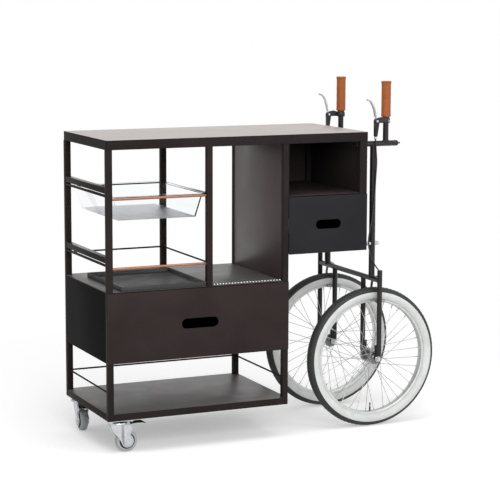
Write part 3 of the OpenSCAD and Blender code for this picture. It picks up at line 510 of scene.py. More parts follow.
# Black moulded rubber and plastic for the pedals and valves. It is also painted shade: the ring on each
# caster wheel's sides, and the caster cups' sides with their bearing seal.
MOULDED_BLACK_AND_SHADE = moulded("guard_black", grey(0.012), grey(0.022), (0.42, 0.55), gloss=0.15)


def finished(bm, *finishes):
    """Mesh of a bmesh, with its finishes."""
    mesh = bpy.data.meshes.new("part")
    bm.to_mesh(mesh)
    bm.free()
    for finish in finishes:
        mesh.materials.append(finish)
    return mesh


def join_meshes(parts):
    """One mesh of several, with their finishes kept."""
    bm = bmesh.new()
    finishes = []
    for part in parts:
        first = len(bm.faces)
        bm.from_mesh(part)
        finishes += [finish for finish in part.materials if finish not in finishes]
        numbers = [finishes.index(finish) for finish in part.materials]
        bm.faces.ensure_lookup_table()
        for face in bm.faces[first:]:
            face.material_index = numbers[face.material_index]
        bpy.data.meshes.remove(part)
    return finished(bm, *finishes)


def place_piece(name, body, slot, *parts, stands_for=None, angle=35):
    """Puts parts in the scene as one piece on its body. Edges past the angle stay sharp."""
    mesh = join_meshes(parts) if len(parts) > 1 else parts[0]
    mesh.name = name
    mesh.shade_smooth()
    mesh.set_sharp_from_angle(angle=math.radians(angle))
    piece = add_object(name, mesh)
    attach(piece, body)
    if stands_for:
        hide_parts(stands_for)


def stand_in(name, node, *parts, angle=35):
    """Piece in the place of a CAD node, on the node's body."""
    place_piece(name, body_of[node], slot_of[node], *parts, stands_for=node, angle=angle)


def evaluated_mesh(piece):
    """The mesh that the piece's modifiers make. The piece itself is removed."""
    view = bpy.context.evaluated_depsgraph_get()
    mesh = bpy.data.meshes.new_from_object(piece.evaluated_get(view))
    old = piece.data
    bpy.data.objects.remove(piece)
    bpy.data.meshes.remove(old)
    return mesh


def rounded_mesh(bm, radius, *finishes, segments=2):
    """Mesh with every sharp edge rounded to a radius in millimetres."""
    piece = add_object("rounding", finished(bm, *finishes))
    bevel = piece.modifiers.new("rounding", "BEVEL")
    bevel.width = radius / 1000
    bevel.segments = segments
    bevel.limit_method = "ANGLE"
    bevel.angle_limit = math.radians(38)
    return evaluated_mesh(piece)


def rounded_piece(node, radius, *finishes, segments=2, choose=None):
    """The node's own shape with rounded edges. choose picks each face's finish, by its number, from the
    face's centre in millimetres and its normal."""
    bm = bmesh.new()
    bm.from_mesh(cad_nodes[node].data)
    bmesh.ops.remove_doubles(bm, verts=bm.verts, dist=2e-6)
    bmesh.ops.dissolve_limit(bm, angle_limit=math.radians(0.5), verts=bm.verts, edges=bm.edges)
    for face in bm.faces:
        face.material_index = choose(face.calc_center_median() * 1000, face.normal) if choose else 0
    stand_in(node + "_rounded", node, rounded_mesh(bm, radius, *finishes, segments=segments))


def spun_mesh(outline, centre, turn, steps, *finishes):
    """Closed outline of (radius, offset) in millimetres, spun about the turned Z axis at centre. A point
    can have the number of the finish that follows it, which is otherwise the first."""
    bm = bmesh.new()
    move = Matrix.Translation(centre) @ turn.to_4x4() @ Matrix.Scale(0.001, 4)
    rings = []
    for radius, offset, *_ in outline:
        if radius == 0:
            rings.append([bm.verts.new(move @ Vector((0, 0, offset)))] * steps)
        else:
            rings.append([bm.verts.new(move @ Vector((x, y, offset)))
                          for x, y in arc(radius, clock(steps))])
    for point, one, two in zip(outline, rings, rings[1:] + rings[:1]):
        for k in range(steps):
            n = (k + 1) % steps
            corners = list(dict.fromkeys((one[k], one[n], two[n], two[k])))
            if len(corners) > 2:
                bm.faces.new(corners).material_index = point[2] if len(point) > 2 else 0
    bmesh.ops.recalc_face_normals(bm, faces=bm.faces)
    return finished(bm, *finishes)


def nut_mesh(radius, height, centre, turn):
    """Zinc hexagon nut with chamfered edges."""
    edge = 0.12 * radius
    outline = [(0, 0), (radius - edge, 0), (radius, edge / 2), (radius, height - edge / 2),
               (radius - edge, height), (0, height)]
    return spun_mesh(outline, centre, turn, 6, ZINC)


def plate_mesh(outline, sides, place, radius, *finishes, crest=None):
    """Plate with an outline of (x, z) between two sides across, all in millimetres, and rounded edges.
    A pressed panel has another outline, its crest, on the second side. The last finish is for the rim."""
    bm = bmesh.new()
    layers = [[bm.verts.new(place @ shift(x, across, z)) for x, z in points]
              for points, across in zip((outline, crest or outline), sides)]
    for layer in layers:
        bm.faces.new(layer)
    for i in range(len(outline)):
        n = (i + 1) % len(outline)
        rim_face = bm.faces.new((layers[0][i], layers[0][n], layers[1][n], layers[1][i]))
        rim_face.material_index = len(finishes) - 1
    bmesh.ops.recalc_face_normals(bm, faces=bm.faces)
    return rounded_mesh(bm, radius, *finishes)


def geometry_tree(name, values):
    """Geometry Nodes tree with named inputs, the inputs it is given, and the node that begins its end."""
    tree = bpy.data.node_groups.new(name, "GeometryNodeTree")
    new_socket = tree.interface.new_socket
    new_socket("Geometry", in_out="INPUT", socket_type="NodeSocketGeometry")
    name_inputs(tree, values)
    new_socket("Finish", in_out="INPUT", socket_type="NodeSocketMaterial")
    new_socket("Geometry", in_out="OUTPUT", socket_type="NodeSocketGeometry")
    given = add_node(tree, "NodeGroupInput").outputs
    end = add_node(tree, "GeometryNodeRealizeInstances")
    paint = add_node(tree, "GeometryNodeSetMaterial", {"Geometry": end, "Material": given["Finish"]})
    add_node(tree, "NodeGroupOutput", {0: paint})
    return tree, given, end


def pipe_tree():
    """Round pipe along the edges of a mesh, with ripples along it for a weld bead."""
    tree, given, end = geometry_tree("pipe_run", {"Radius": 0.003, "Sides": 12, "Ripple": 0.0})
    path = add_node(tree, "GeometryNodeMeshToCurve", {0: given["Geometry"]})
    where = add_node(tree, "GeometryNodeInputPosition")
    noise = add_node(tree, "ShaderNodeTexNoise", {"Vector": where, "Scale": 420})
    swell = add_math(tree, "MULTIPLY_ADD", noise, given["Ripple"], 1.0)
    ring = add_node(tree, "GeometryNodeCurvePrimitiveCircle",
                    {"Resolution": given["Sides"], "Radius": given["Radius"]})
    skin = add_node(tree, "GeometryNodeCurveToMesh",
                    {"Curve": path, "Profile Curve": ring, "Scale": swell, "Fill Caps": True})
    feed(end, {0: skin})
    return tree


def repeat_tree(name, shape, values):
    """One small shape at each point, its Z along the point's facing and its X along the point's along."""
    tree, given, end = geometry_tree(name, values)
    item = add_node(tree, shape, {label: given[label] for label in values})
    turn = {}
    for label, settings in (("facing", {"axis": "Z"}), ("along", {"axis": "X", "pivot_axis": "Z"})):
        wish = add_node(tree, "GeometryNodeInputNamedAttribute", {"Name": label}, data_type="FLOAT_VECTOR")
        turn = {"Rotation": add_node(tree, "FunctionNodeAlignRotationToVector", {"Vector": wish, **turn},
                                     **settings)}
    scatter = add_node(tree, "GeometryNodeInstanceOnPoints",
                       {"Points": given["Geometry"], "Instance": item, **turn})
    feed(end, {0: scatter})
    return tree


PIPE = pipe_tree()
STUDS = repeat_tree("stud_heads", "GeometryNodeMeshCone", {
    "Vertices": 6, "Radius Top": 0.002, "Radius Bottom": 0.002, "Depth": 0.003})
BEADS = repeat_tree("bright_beads", "GeometryNodeMeshIcoSphere", {"Radius": 0.002, "Subdivisions": 2})
BLOCKS = repeat_tree("tread_blocks", "GeometryNodeMeshCube", {"Size": (0.006, 0.004, 0.001)})


def grown_mesh(tree, base, finish, **values):
    """What a tree makes from a base mesh, as a plain mesh."""
    piece = add_object("growing", base)
    growth = piece.modifiers.new("growth", "NODES")
    growth.node_group = tree
    values["Finish"] = finish
    for socket in tree.interface.items_tree:
        label = socket.name.replace(" ", "_")
        if socket.in_out == "INPUT" and label in values:
            growth[socket.identifier] = values[label]
    return evaluated_mesh(piece)


def pipe_mesh(runs, radius, finish, sides=8, ripple=0.0, closed=False):
    """Pipes along runs of points in metres, with a radius in millimetres."""
    bm = bmesh.new()
    for run in runs:
        verts = [bm.verts.new(point) for point in run]
        for one, two in zip(verts, verts[1:]):
            bm.edges.new((one, two))
        if closed:
            bm.edges.new((verts[-1], verts[0]))
    return grown_mesh(PIPE, finished(bm), finish, Radius=radius / 1000, Sides=sides, Ripple=ripple)


def weld_mesh(seams, radius, closed, ripple=0.7):
    """Rippled weld beads along seams of points."""
    return pipe_mesh(seams, radius, TUBE_COAT, ripple=ripple, closed=closed)


def repeat_mesh(tree, places, finish, **sizes):
    """A small shape at each of the places, which are (point, facing, along). All is in metres."""
    base = bpy.data.meshes.new("points")
    base.from_pydata([point for point, _, _ in places], [], [])
    for label, number in (("facing", 1), ("along", 2)):
        attribute = base.attributes.new(label, "FLOAT_VECTOR", "POINT")
        for i, place in enumerate(places):
            attribute.data[i].vector = place[number]
    return grown_mesh(tree, base, finish, **sizes)


def stud_mesh(places, top, bottom, depth):
    """Zinc hexagon heads, with the radii of their ends and their depth in millimetres."""
    return repeat_mesh(STUDS, places, ZINC, Vertices=6, Radius_Top=top / 1000, Radius_Bottom=bottom / 1000,
                       Depth=depth / 1000)


def bead_mesh(places, radius, finish, detail):
    """Beads with a radius in millimetres."""
    return repeat_mesh(BEADS, places, finish, Radius=radius / 1000, Subdivisions=detail)


def block_mesh(places, size, finish):
    """Blocks with a size of (along, across, out) in millimetres."""
    return repeat_mesh(BLOCKS, places, finish, Size=tuple(length / 1000 for length in size))


def smooth_run(points, steps):
    """Points along a smooth curve through the given ones."""
    run = []
    last = len(points) - 1
    for i in range(last):
        a, b, c, d = points[max(i - 1, 0)], points[i], points[i + 1], points[min(i + 2, last)]
        for k in range(steps):
            t = k / steps
            run.append(0.5 * (2 * b + (c - a) * t + (2 * a - 5 * b + 4 * c - d) * t * t
                              + (3 * b - a - 3 * c + d) * t ** 3))
    run.append(points[last])
    return run


# Least share of a normal along an axis for a face that looks that way.
FACING = 0.9


def top_is_second(centre, normal):
    return int(normal.z > FACING)


def top_is_first(centre, normal):
    return int(normal.z <= FACING)


def left_is_second(centre, normal):
    return int(normal.x < -FACING)


def tub_floor_is_second(centre, normal):
    under_rim = 800
    return int(abs(normal.z) > FACING and centre.z < under_rim)


def frame_and_panels():
    """Tubes, sheets and drawers, which keep their own shapes."""
    tube_edge, sheet_edge, front_edge = 1.6, 0.5, 0.7
    for node in ("front_posts", "back_posts", "base_rails", "deck_rails", "right_stiles"):
        rounded_piece(node, tube_edge, BLACK_COAT, segments=3)
    rounded_piece("end_rails", tube_edge, BLACK_COAT, TUBE_COAT, segments=3, choose=top_is_second)
    # The darker coat on the housing panels and the right wall's outside is painted shade.
    rounded_piece("housing_panels", sheet_edge, SHADED_PANEL_COAT)
    rounded_piece("side_panel", sheet_edge, BAY_COAT)
    rounded_piece("right_wall", sheet_edge, SHADED_PANEL_COAT, INNER_COAT, choose=left_is_second)
    for node in ("cabinet_back", "cabinet_floors"):
        rounded_piece(node, sheet_edge, INNER_COAT)
    rounded_piece("low_drawer_front", front_edge, DRAWER_COAT, TUBE_COAT, segments=3, choose=top_is_second)
    # The small drawer's darker, cooler front is painted shade from the worktop above it.
    rounded_piece("small_drawer_front", front_edge, SHADED_SMALL_FRONT_COAT, segments=3)
    # The drawer boxes take the same darker coat, which is painted shade.
    for node in ("low_drawer_box", "small_drawer_box"):
        rounded_piece(node, sheet_edge, SHADED_PANEL_COAT)
    rounded_piece("apron", 1.2, BLACK_COAT, segments=3)
    rounded_piece("worktop", 0.8, TOP_GREY, BLACK_COAT, choose=top_is_first)
    rounded_piece("shelf_plate", 0.6, SHELF_GREY, BLACK_COAT, choose=top_is_first)
    rounded_piece("deck_plate", 0.8, SHELF_GREY, BLACK_COAT, choose=top_is_first)
    rounded_piece("slide_channels", 0.4, ZINC)
    rounded_piece("bottle_tub", 1.2, CLEAR, FROSTED, segments=3, choose=tub_floor_is_second)
    rounded_piece("bottle_tray", 0.7, TRAY_BLACK)


def lengthwise(first_post, last_post, y, z):
    """Run between the faces of two posts."""
    return [at(first_post + HALF_TUBE, y, z), at(last_post - HALF_TUBE, y, z)]


def crosswise(post, z):
    """Run between the faces of a front post and the back post behind it."""
    return [at(post, HALF_TUBE - POST_Y, z), at(post, POST_Y - HALF_TUBE, z)]


def rods():
    """Round guard and gallery rods and the copper bottle rails."""
    rod_r, copper_r = 3, 4.5
    guard = [lengthwise(LEFT_POST, RIGHT_POST, POST_Y, GUARD_Z)]
    guard += [crosswise(post, GUARD_Z) for post in (LEFT_POST, RIGHT_POST)]
    gallery = []
    for z in GALLERY_Z:
        gallery += [lengthwise(LEFT_POST, MIDDLE_POST, POST_Y, z), crosswise(MIDDLE_POST, z)]
    copper = [lengthwise(LEFT_POST, MIDDLE_POST, -POST_Y, z) for z in COPPER_Z]
    stand_in("guard_rods_round", "guard_rods", pipe_mesh(guard, rod_r, BLACK_COAT, 20))
    stand_in("gallery_rods_round", "gallery_rods", pipe_mesh(gallery, rod_r, BLACK_COAT, 20))
    stand_in("copper_rails_round", "copper_rails", pipe_mesh(copper, copper_r, COPPER, 28))


def bead_trim():
    """Bright strip along the deck's front edge, with a row of beads on it."""
    bead_r, strip_height, count = 3, 2.2, 23
    low, high = [Vector(corner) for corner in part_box("deck_trim")]
    strip_top = low.z + strip_height / 1000
    bm = bmesh.new()
    bmesh.ops.create_cube(bm, size=1)
    for v in bm.verts:
        v.co.x = high.x if v.co.x > 0 else low.x
        v.co.y = high.y if v.co.y > 0 else low.y
        v.co.z = strip_top if v.co.z > 0 else low.z
    strip = rounded_mesh(bm, 0.6, BEAD_BED)
    first = Vector((low.x, (low.y + high.y) / 2, low.z)) + shift(bead_r, 0, bead_r)
    step = (high.x - low.x - 2 * bead_r / 1000) / (count - 1)
    places = [(first + Vector((i * step, 0, 0)), (0, 0, 1), (1, 0, 0)) for i in range(count)]
    stand_in("deck_bead_trim", "deck_trim", strip, bead_mesh(places, bead_r, CHROME, 2))


def wheel_centre(s):
    """Middle of a wheel's axle."""
    return at(AXLE_X, s * WHEEL_Y, AXLE_Z)


def wheel_point(s, radius, angle, offset):
    """Point on a wheel in millimetres. Offset runs outwards from the wheel plane."""
    return at(AXLE_X + radius * math.cos(angle), s * (WHEEL_Y + offset), AXLE_Z + radius * math.sin(angle))


def tyre(side, s):
    """Casing with a black tread between white walls, and rows of skewed blocks on the tread."""
    ring, half, wall, white_step, block_step = 226.5, 22.8, 3.0, 0.4, 0.2
    outside, tread, inside = range(-52, 233, 4), range(22, 158), sweep(224, -45, -16)
    rows, blocks_in_row, skew, block_size = (36, 56, 77, 103, 124, 144), 96, 0.45, (10.5, 5.6, 1.0)
    outline = []
    for degrees in outside:
        a = math.radians(degrees)
        r = half if degrees in tread else half - white_step
        outline.append((ring + r * math.sin(a), r * math.cos(a), int(degrees not in tread)))
    for a in inside:
        outline.append((ring + (half - wall) * math.sin(a), (half - wall) * math.cos(a)))
    centre = wheel_centre(s)
    casing = spun_mesh(outline, centre, ALONG_Y, WHEEL_STEPS, TREAD_BLACK, WHITEWALL)
    r = half + block_step
    places = []
    for row, degrees in enumerate(rows):
        a = math.radians(degrees)
        lean = Vector((0, skew if degrees < 90 else -skew, 0)) * math.sin(a)
        for k in range(blocks_in_row):
            turn = 2 * math.pi * (k + 0.5 * (row % 2)) / blocks_in_row
            out = Vector((math.cos(turn), 0, math.sin(turn)))
            around = Vector((-math.sin(turn), 0, math.cos(turn)))
            point = centre + out * (ring + r * math.sin(a)) / 1000 + shift(0, r * math.cos(a), 0)
            facing = out * math.sin(a) + Vector((0, math.cos(a), 0))
            places.append((point, facing, (around + lean).normalized()))
    blocks = block_mesh(places, block_size, TREAD_BLACK)
    stand_in(f"tyre_{side}_whitewall", f"tyre_{side}", casing, blocks, angle=30)


def rim(side, s):
    """Hoop with hooked edges, w from its middle and r from the axle, and the valve at its lowest place."""
    w, r, inner, valve_r = 13.0, 209.0, 199.0, 200.0
    half = [(inner, w - 5), (inner + 0.6, w - 3), (inner + 2, w - 0.8), (inner + 3, w), (r - 2, w),
            (r - 0.8, w + 0.3), (r, w - 0.4), (r, w - 1.6), (r - 1, w - 2.2), (r - 4, w - 2.5),
            (r - 6, w - 6)]
    well = [(inner - 0.4, 3), (inner - 0.4, -3)]
    hoop = spun_mesh(mirrored(half) + well, wheel_centre(s), ALONG_Y, WHEEL_STEPS, RIM_ALLOY)
    stalk = [(0, 1), (3, 1), (3, -13), (2.7, -14), (2.7, -16)]
    cap = [(2.3, -16.5, 1), (2.3, -23, 1), (3, -23.5, 1), (3, -29.5, 1), (2.4, -30.4, 1), (0, -30.4, 1)]
    foot = wheel_centre(s) - shift(0, 0, valve_r)
    inwards = Matrix.Rotation(math.pi, 3, "X")
    valve = spun_mesh(stalk + cap, foot, inwards, 20, MOULDED_BLACK_AND_SHADE, SHADED_HUB_STEEL)
    stand_in(f"rim_{side}_hoop", f"rim_{side}", hoop, valve, angle=30)


def spokes(side, s):
    """Crossed wires with their heads in the hub flanges and nipples at the rim."""
    count, lacing, flange_y, hole_r, end_r, rim_y, rim_r = 36, 62, 32, 20.4, 21, 3, 200
    wire_step, bend_step, head_step, rim_step = 2.1, 1.2, 2.3, 1.2
    wire_r, head_r, nipple_r, nipple_length = 1.0, 1.7, 1.9, 12
    wires, nipples, heads = [], [], []
    for i in range(count):
        face = 1 if i % 2 == 0 else -1
        lead = 1 if (i // 2) % 2 == 0 else -1
        at_rim = math.radians(360 * (i + 0.5) / count)
        at_hub = at_rim + math.radians(lacing * lead)
        hub_end = wheel_point(s, end_r, at_hub, face * (flange_y + lead * wire_step))
        rim_end = wheel_point(s, rim_r, at_rim, face * (rim_y + lead * rim_step))
        bend = wheel_point(s, hole_r, at_hub, face * (flange_y - lead * bend_step))
        head = wheel_point(s, hole_r, at_hub, face * (flange_y - lead * head_step))
        wires.append([bend, hub_end, rim_end])
        inwards = (hub_end - rim_end).normalized()
        nipples.append([rim_end, rim_end + inwards * nipple_length / 1000])
        heads.append((head, Vector((0, face * s, 0)) * lead, (1, 0, 0)))
    stand_in(f"spokes_{side}_laced", f"spokes_{side}",
             pipe_mesh(wires, wire_r, SPOKE_STEEL),
             pipe_mesh(nipples, nipple_r, NIPPLE_STEEL),
             bead_mesh(heads, head_r, SPOKE_STEEL, 1), angle=45)


def hub(side, s):
    """Hub shell, waisted between its two flanges."""
    end = [(5.05, 49.8), (8.2, 49.8), (9, 49), (9, 40), (8.4, 39.4), (8.4, 38)]
    flange = [(11, 37), (14, 34.5), (23, 33.5), (24, 33), (24, 31), (23, 30.5), (17, 29.5)]
    waist = [(14.5, 26), (13.4, 18)]
    section = mirrored(end + flange + waist, (13, 0))
    # The darkened hub steel is painted shade.
    shell = spun_mesh(section, wheel_centre(s), ALONG_Y, 56, SHADED_HUB_STEEL)
    stand_in(f"hub_{side}_turned", f"hub_{side}", shell, angle=30)


def cross_bar():
    """Round bar over both wheels, with a weld bead where each leg meets it."""
    reach = WHEEL_Y + LEG_Y
    bar = pipe_mesh([[at(AXLE_X, -reach, BOLT_Z), at(AXLE_X, reach, BOLT_Z)]], FORK_R, TUBE_COAT, 40)
    ring = arc(FORK_R, clock(48))
    seams = []
    for s in SIDES.values():
        outer = [at(AXLE_X + x, s * (reach - abs(z)), BOLT_Z + z) for x, z in ring]
        inner = [at(AXLE_X + x, s * (WHEEL_Y - LEG_Y) + y, BOLT_Z - abs(y)) for x, y in ring]
        seams += [outer, inner]
    stand_in("cross_bar_welded", "cross_bar", bar, weld_mesh(seams, 1.3, closed=True, ripple=0.6))


def fork_legs(side, s):
    """Two round legs with drop-out plates welded to their feet. The outer leg has a cap."""
    r, toe_r, plate_top, plate_y, half_plate, weld_x, weld_y = FORK_R, 12, 50, 52, 2, 6.3, 54.4
    drop_out = arc(toe_r, sweep(180, 361, 12)) + [(toe_r, plate_top), (-toe_r, plate_top)]
    weld_heights = [LEG_Z + 2 + 4 * k for k in range(10)]
    parts = []
    for out, top in ((1, LEG_TOP), (-1, BOLT_Z)):
        tube = [(0, LEG_Z), (r - 0.8, LEG_Z), (r, LEG_Z + 0.8), (r, top - 2.4), (r - 0.5, top - 2.1),
                (r - 0.5, top - 1.8), (r, top - 1.5), (r - 0.3, top - 0.5), (r - 1.2, top), (0, top)]
        foot = at(AXLE_X, s * (WHEEL_Y + out * LEG_Y), 0)
        place = Matrix.Translation(at(AXLE_X, s * (WHEEL_Y + out * plate_y), AXLE_Z))
        seams = [[at(AXLE_X + x, s * (WHEEL_Y + out * weld_y), z) for z in weld_heights]
                 for x in (-weld_x, weld_x)]
        parts += [spun_mesh(tube, foot, UPRIGHT, 40, TUBE_COAT),
                  plate_mesh(drop_out, (-half_plate, half_plate), place, 0.7, TUBE_COAT),
                  weld_mesh(seams, 1.2, closed=False)]
    stand_in(f"fork_legs_{side}_welded", f"fork_legs_{side}", *parts)


def stem(side, s):
    """Steering tube, handle tube and upright, with the weld beads where they meet."""
    y, lip, upright_end, foot_lift, saddle_lift = s * WHEEL_Y, 3.5, 118, 0.3, 0.2
    r, end = HANDLE_R, HANDLE_END - WALL_X
    tube = pipe_mesh([[at(AXLE_X, y, BOLT_Z + lip), at(AXLE_X, y, HANDLE_Z)]], STEM_R, TUBE_COAT, 40)
    upright = [at(UPRIGHT_X, y, HANDLE_Z), at(UPRIGHT_X, y, GRIP_Z + upright_end)]
    bar = [(0, 0), (r, 0)]
    cap = [(r, end - 14), (r - 0.6, end - 13), (r - 0.6, end - 12), (r, end - 11), (r, end - 1),
           (r - 1, end + 1), (5.2, end + 3.6), (4.2, end + 4)]
    screw = [(3, end + 4, 1), (3, end + 11, 1), (2.4, end + 12, 1), (0, end + 12, 1)]
    handle = spun_mesh(bar + cap + screw, at(WALL_X, y, HANDLE_Z), ALONG_X, 40, TUBE_COAT, BRAKE_BLACK)
    foot, saddle = [], []
    for a in clock(48):
        x = STEM_R * math.cos(a)
        rise = math.sqrt(max(FORK_R ** 2 - x * x, lip * lip))
        foot.append(at(AXLE_X + x, y + STEM_R * math.sin(a), BOLT_Z + rise + foot_lift))
        saddle.append(at(UPRIGHT_X + (r + saddle_lift) * math.cos(a), y + r * math.sin(a),
                         HANDLE_Z + r * abs(math.cos(a)) + saddle_lift))
    crotch = [[at(AXLE_X + d * math.sqrt(STEM_R ** 2 - (r * math.sin(a)) ** 2), y + r * math.sin(a),
                  HANDLE_Z - r * math.cos(a)) for a in sweep(-84, 85, 8)] for d in (-1, 1)]
    stand_in(f"stem_{side}_welded", f"stem_{side}", tube, pipe_mesh([upright], r, TUBE_COAT, 36), handle,
             weld_mesh([foot, saddle], 1.5, closed=True), weld_mesh(crotch, 1.4, closed=False))


def axles():
    """Wheel axles with washers and nuts, and the brakes' pivot bolts with their nuts."""
    rod_r, half_rod, nut_y, thread_y, pivot_r, nut_x = 5, 68, 55.6, 63.6, 3, AXLE_X + 22.5
    rod = mirrored([(0, half_rod), (rod_r - 0.8, half_rod), (rod_r, half_rod - 0.8)])
    washer = [(5.1, 54), (9.6, 54), (10.2, 54.4), (10.2, 55.2), (9.6, nut_y), (5.1, nut_y)]
    shank_length = nut_x - AXLE_X - FORK_R
    shank = [(0, 0), (pivot_r, 0), (pivot_r, shank_length), (0, shank_length)]
    dome = [(0, 0), (5.4, 0), (5.4, 3.4), (4.6, 5), (2.6, 6), (0, 6.2)]
    parts = []
    for s in SIDES.values():
        y = s * WHEEL_Y
        centre = wheel_centre(s)
        parts.append(spun_mesh(rod, centre, ALONG_Y, 28, ZINC))
        threads = []
        for d, turn in TOWARDS_Y.items():
            parts.append(spun_mesh(washer, centre, turn, 32, ZINC))
            parts.append(nut_mesh(8.5, 7.4, at(AXLE_X, y + d * nut_y, AXLE_Z), turn))
            threads += [[at(x, y + d * (thread_y + k), z) for x, z in arc(rod_r, clock(20), AXLE_X, AXLE_Z)]
                        for k in range(4)]
        parts.append(pipe_mesh(threads, 0.28, ZINC, 6, closed=True))
        parts.append(spun_mesh(shank, at(AXLE_X + FORK_R, y, BOLT_Z), ALONG_X, 24, ZINC))
        parts.append(nut_mesh(6, 4, at(nut_x, y, BOLT_Z), ALONG_X))
        parts.append(spun_mesh(dome, at(nut_x, y, BOLT_Z), ALONG_X, 24, ZINC))
    stand_in("axles_turned", "axles", *parts)


def wall_spacers():
    """Spacers between cabinet and steering tubes with their dome nuts, and the handle tubes' inner nuts."""
    r, length, nut_x, nut_length, inner_nut_x = 7.5, 42, 1015, 13, WALL_X - 19
    spacer = [(0, 0), (r - 0.6, 0), (r, 0.6), (r, length - 0.6), (r - 0.6, length), (0, length)]
    dome = [(0, 0), (6, 0), (6, 4), (5.7, 5.8), (4.9, 7.5), (3.5, 8.9), (1.8, 9.7), (0, 10)]
    parts = []
    for s in SIDES.values():
        y = s * WHEEL_Y
        parts += [spun_mesh(spacer, at(WALL_X, y, SPACER_Z), ALONG_X, 32, ZINC),
                  nut_mesh(8.5, nut_length, at(nut_x, y, SPACER_Z), ALONG_X),
                  spun_mesh(dome, at(nut_x + nut_length, y, SPACER_Z), ALONG_X, 32, ZINC),
                  nut_mesh(7.5, 9, at(inner_nut_x, y, HANDLE_Z), ALONG_X)]
    stand_in("wall_spacers_turned", "wall_spacers", *parts)


def grip(side, s):
    """Waisted grip with a flared top and a dark neck under it."""
    bore, bore_end = HANDLE_R + 0.06, 118.4
    foot = [(bore, 0), (15.8, 0), (16.8, 0.4), (17.2, 1.4), (17.2, 3.6), (16.9, 6)]
    waist = [(16.5, 10), (16.6, 26), (16.4, 40), (16.6, 54), (16.4, 68), (16.6, 82), (16.4, 98),
             (16.5, 112)]
    flare = [(16.8, 115), (17.5, 118.4), (18, 120.4), (18, 122.6), (17.4, 123.6), (16.4, 124)]
    top = [(9, 124), (8, 123.4), (0, 123.2), (0, bore_end), (bore, bore_end)]
    neck = [(bore, -6.6), (12.6, -6.6), (13.2, -6), (13.2, -3.2), (12.4, -2.6), (12.4, -1.2), (14, -0.4),
            (14, 0), (bore, 0)]
    centre = at(UPRIGHT_X, s * WHEEL_Y, GRIP_Z)
    stand_in(f"grip_{side}_leather", f"grip_{side}",
             spun_mesh(foot + waist + flare + top, centre, UPRIGHT, 64, LEATHER),
             spun_mesh(neck, centre, UPRIGHT, 40, LEATHER_DARK), angle=40)


def brake_lever(side, s):
    """Lever and clamp with their screws, and the cable's knurled barrel."""
    rounded_piece(f"lever_{side}", 1.7, LEVER_ALLOY, segments=3)
    rounded_piece(f"lever_clamp_{side}", 1.0, BRAKE_BLACK)
    half_clamp, bolt_x, bolt_y, bolt_z = 6.1, UPRIGHT_X + 2, WHEEL_Y + 14.6, CLAMP_Z + 7.5
    barrel_r, ridge_drop, ridges, ridge_size = 4.4, 4.7, 20, (5, 0.7, 0.7)
    screw = [(0, 0), (4.2, 0), (4.4, 0.6), (3.9, 2.0), (2.2, 2.5), (2.0, 1.6), (0, 1.6)]
    bolt = [(0, 0), (3.6, 0), (3.8, 1), (3.4, 2.8), (1.8, 3.1), (1.7, 2), (0, 2)]
    sleeve = [(2.6, -BARREL_LENGTH), (4.0, -BARREL_LENGTH), (barrel_r, -7.4), (barrel_r, -2), (4.0, -1.4),
              (3.0, -1.2), (3.0, 1), (2.6, 1)]
    pivot_place = at(PIVOT_X, s * (LEVER_Y + half_clamp), PIVOT_Z)
    nut_place = at(PIVOT_X, s * (LEVER_Y - half_clamp), PIVOT_Z)
    bolt_place = at(bolt_x, s * bolt_y, bolt_z)
    knurl = []
    for x, y in arc(1, clock(ridges)):
        out = Vector((x, y, 0))
        place = at(BARREL_X, s * LEVER_Y, BARREL_Z - ridge_drop) + out * (barrel_r / 1000)
        knurl.append((place, out, (0, 0, 1)))
    place_piece(f"lever_fittings_{side}", "frame", "zinc",
                spun_mesh(screw, pivot_place, TOWARDS_Y[s], 24, ZINC),
                nut_mesh(4, 2.6, nut_place, TOWARDS_Y[-s]),
                spun_mesh(bolt, bolt_place, TOWARDS_Y[s], 24, ZINC),
                spun_mesh(sleeve, at(BARREL_X, s * LEVER_Y, BARREL_Z), UPRIGHT, 32, ZINC),
                block_mesh(knurl, ridge_size, ZINC))


def brake_cable(side, s):
    """Sleeve from the lever's barrel to the caliper, with a ferrule at each end. The route between is
    (X from the axle, Y from the wheel plane, share of the rise)."""
    route = [(4, 14, 0.922), (7, 14, 0.829), (4, 14, 0.716), (0.5, 14.2, 0.597), (-10, 14.5, 0.412),
             (-20, 14.5, 0.294), (-21, 14.8, 0.233), (-15, 15.5, 0.171), (-4, 16.5, 0.109),
             (9, 19.2, 0.066), (17.6, 21.4, 0.041)]
    first_z, end_rise, sleeve_r = BARREL_Z - BARREL_LENGTH, 8.5, 2.4
    ferrule_r, ferrule_length = 3.0, 11
    points = [at(BARREL_X, s * LEVER_Y, first_z)]
    points += [at(AXLE_X + x, s * (WHEEL_Y + y), BAR_TOP + share * (first_z - BAR_TOP))
               for x, y, share in route]
    points.append(at(WIRE_X, s * WIRE_Y, BAR_TOP + end_rise))
    ends = [[one, one + (two - one).normalized() * ferrule_length / 1000]
            for one, two in (points[:2], points[:-3:-1])]
    stand_in(f"cable_{side}_sleeve", f"cable_{side}",
             pipe_mesh([smooth_run(points, 7)], sleeve_r, CABLE_BLACK, 12),
             pipe_mesh(ends, ferrule_r, BRAKE_BLACK, 16), angle=50)


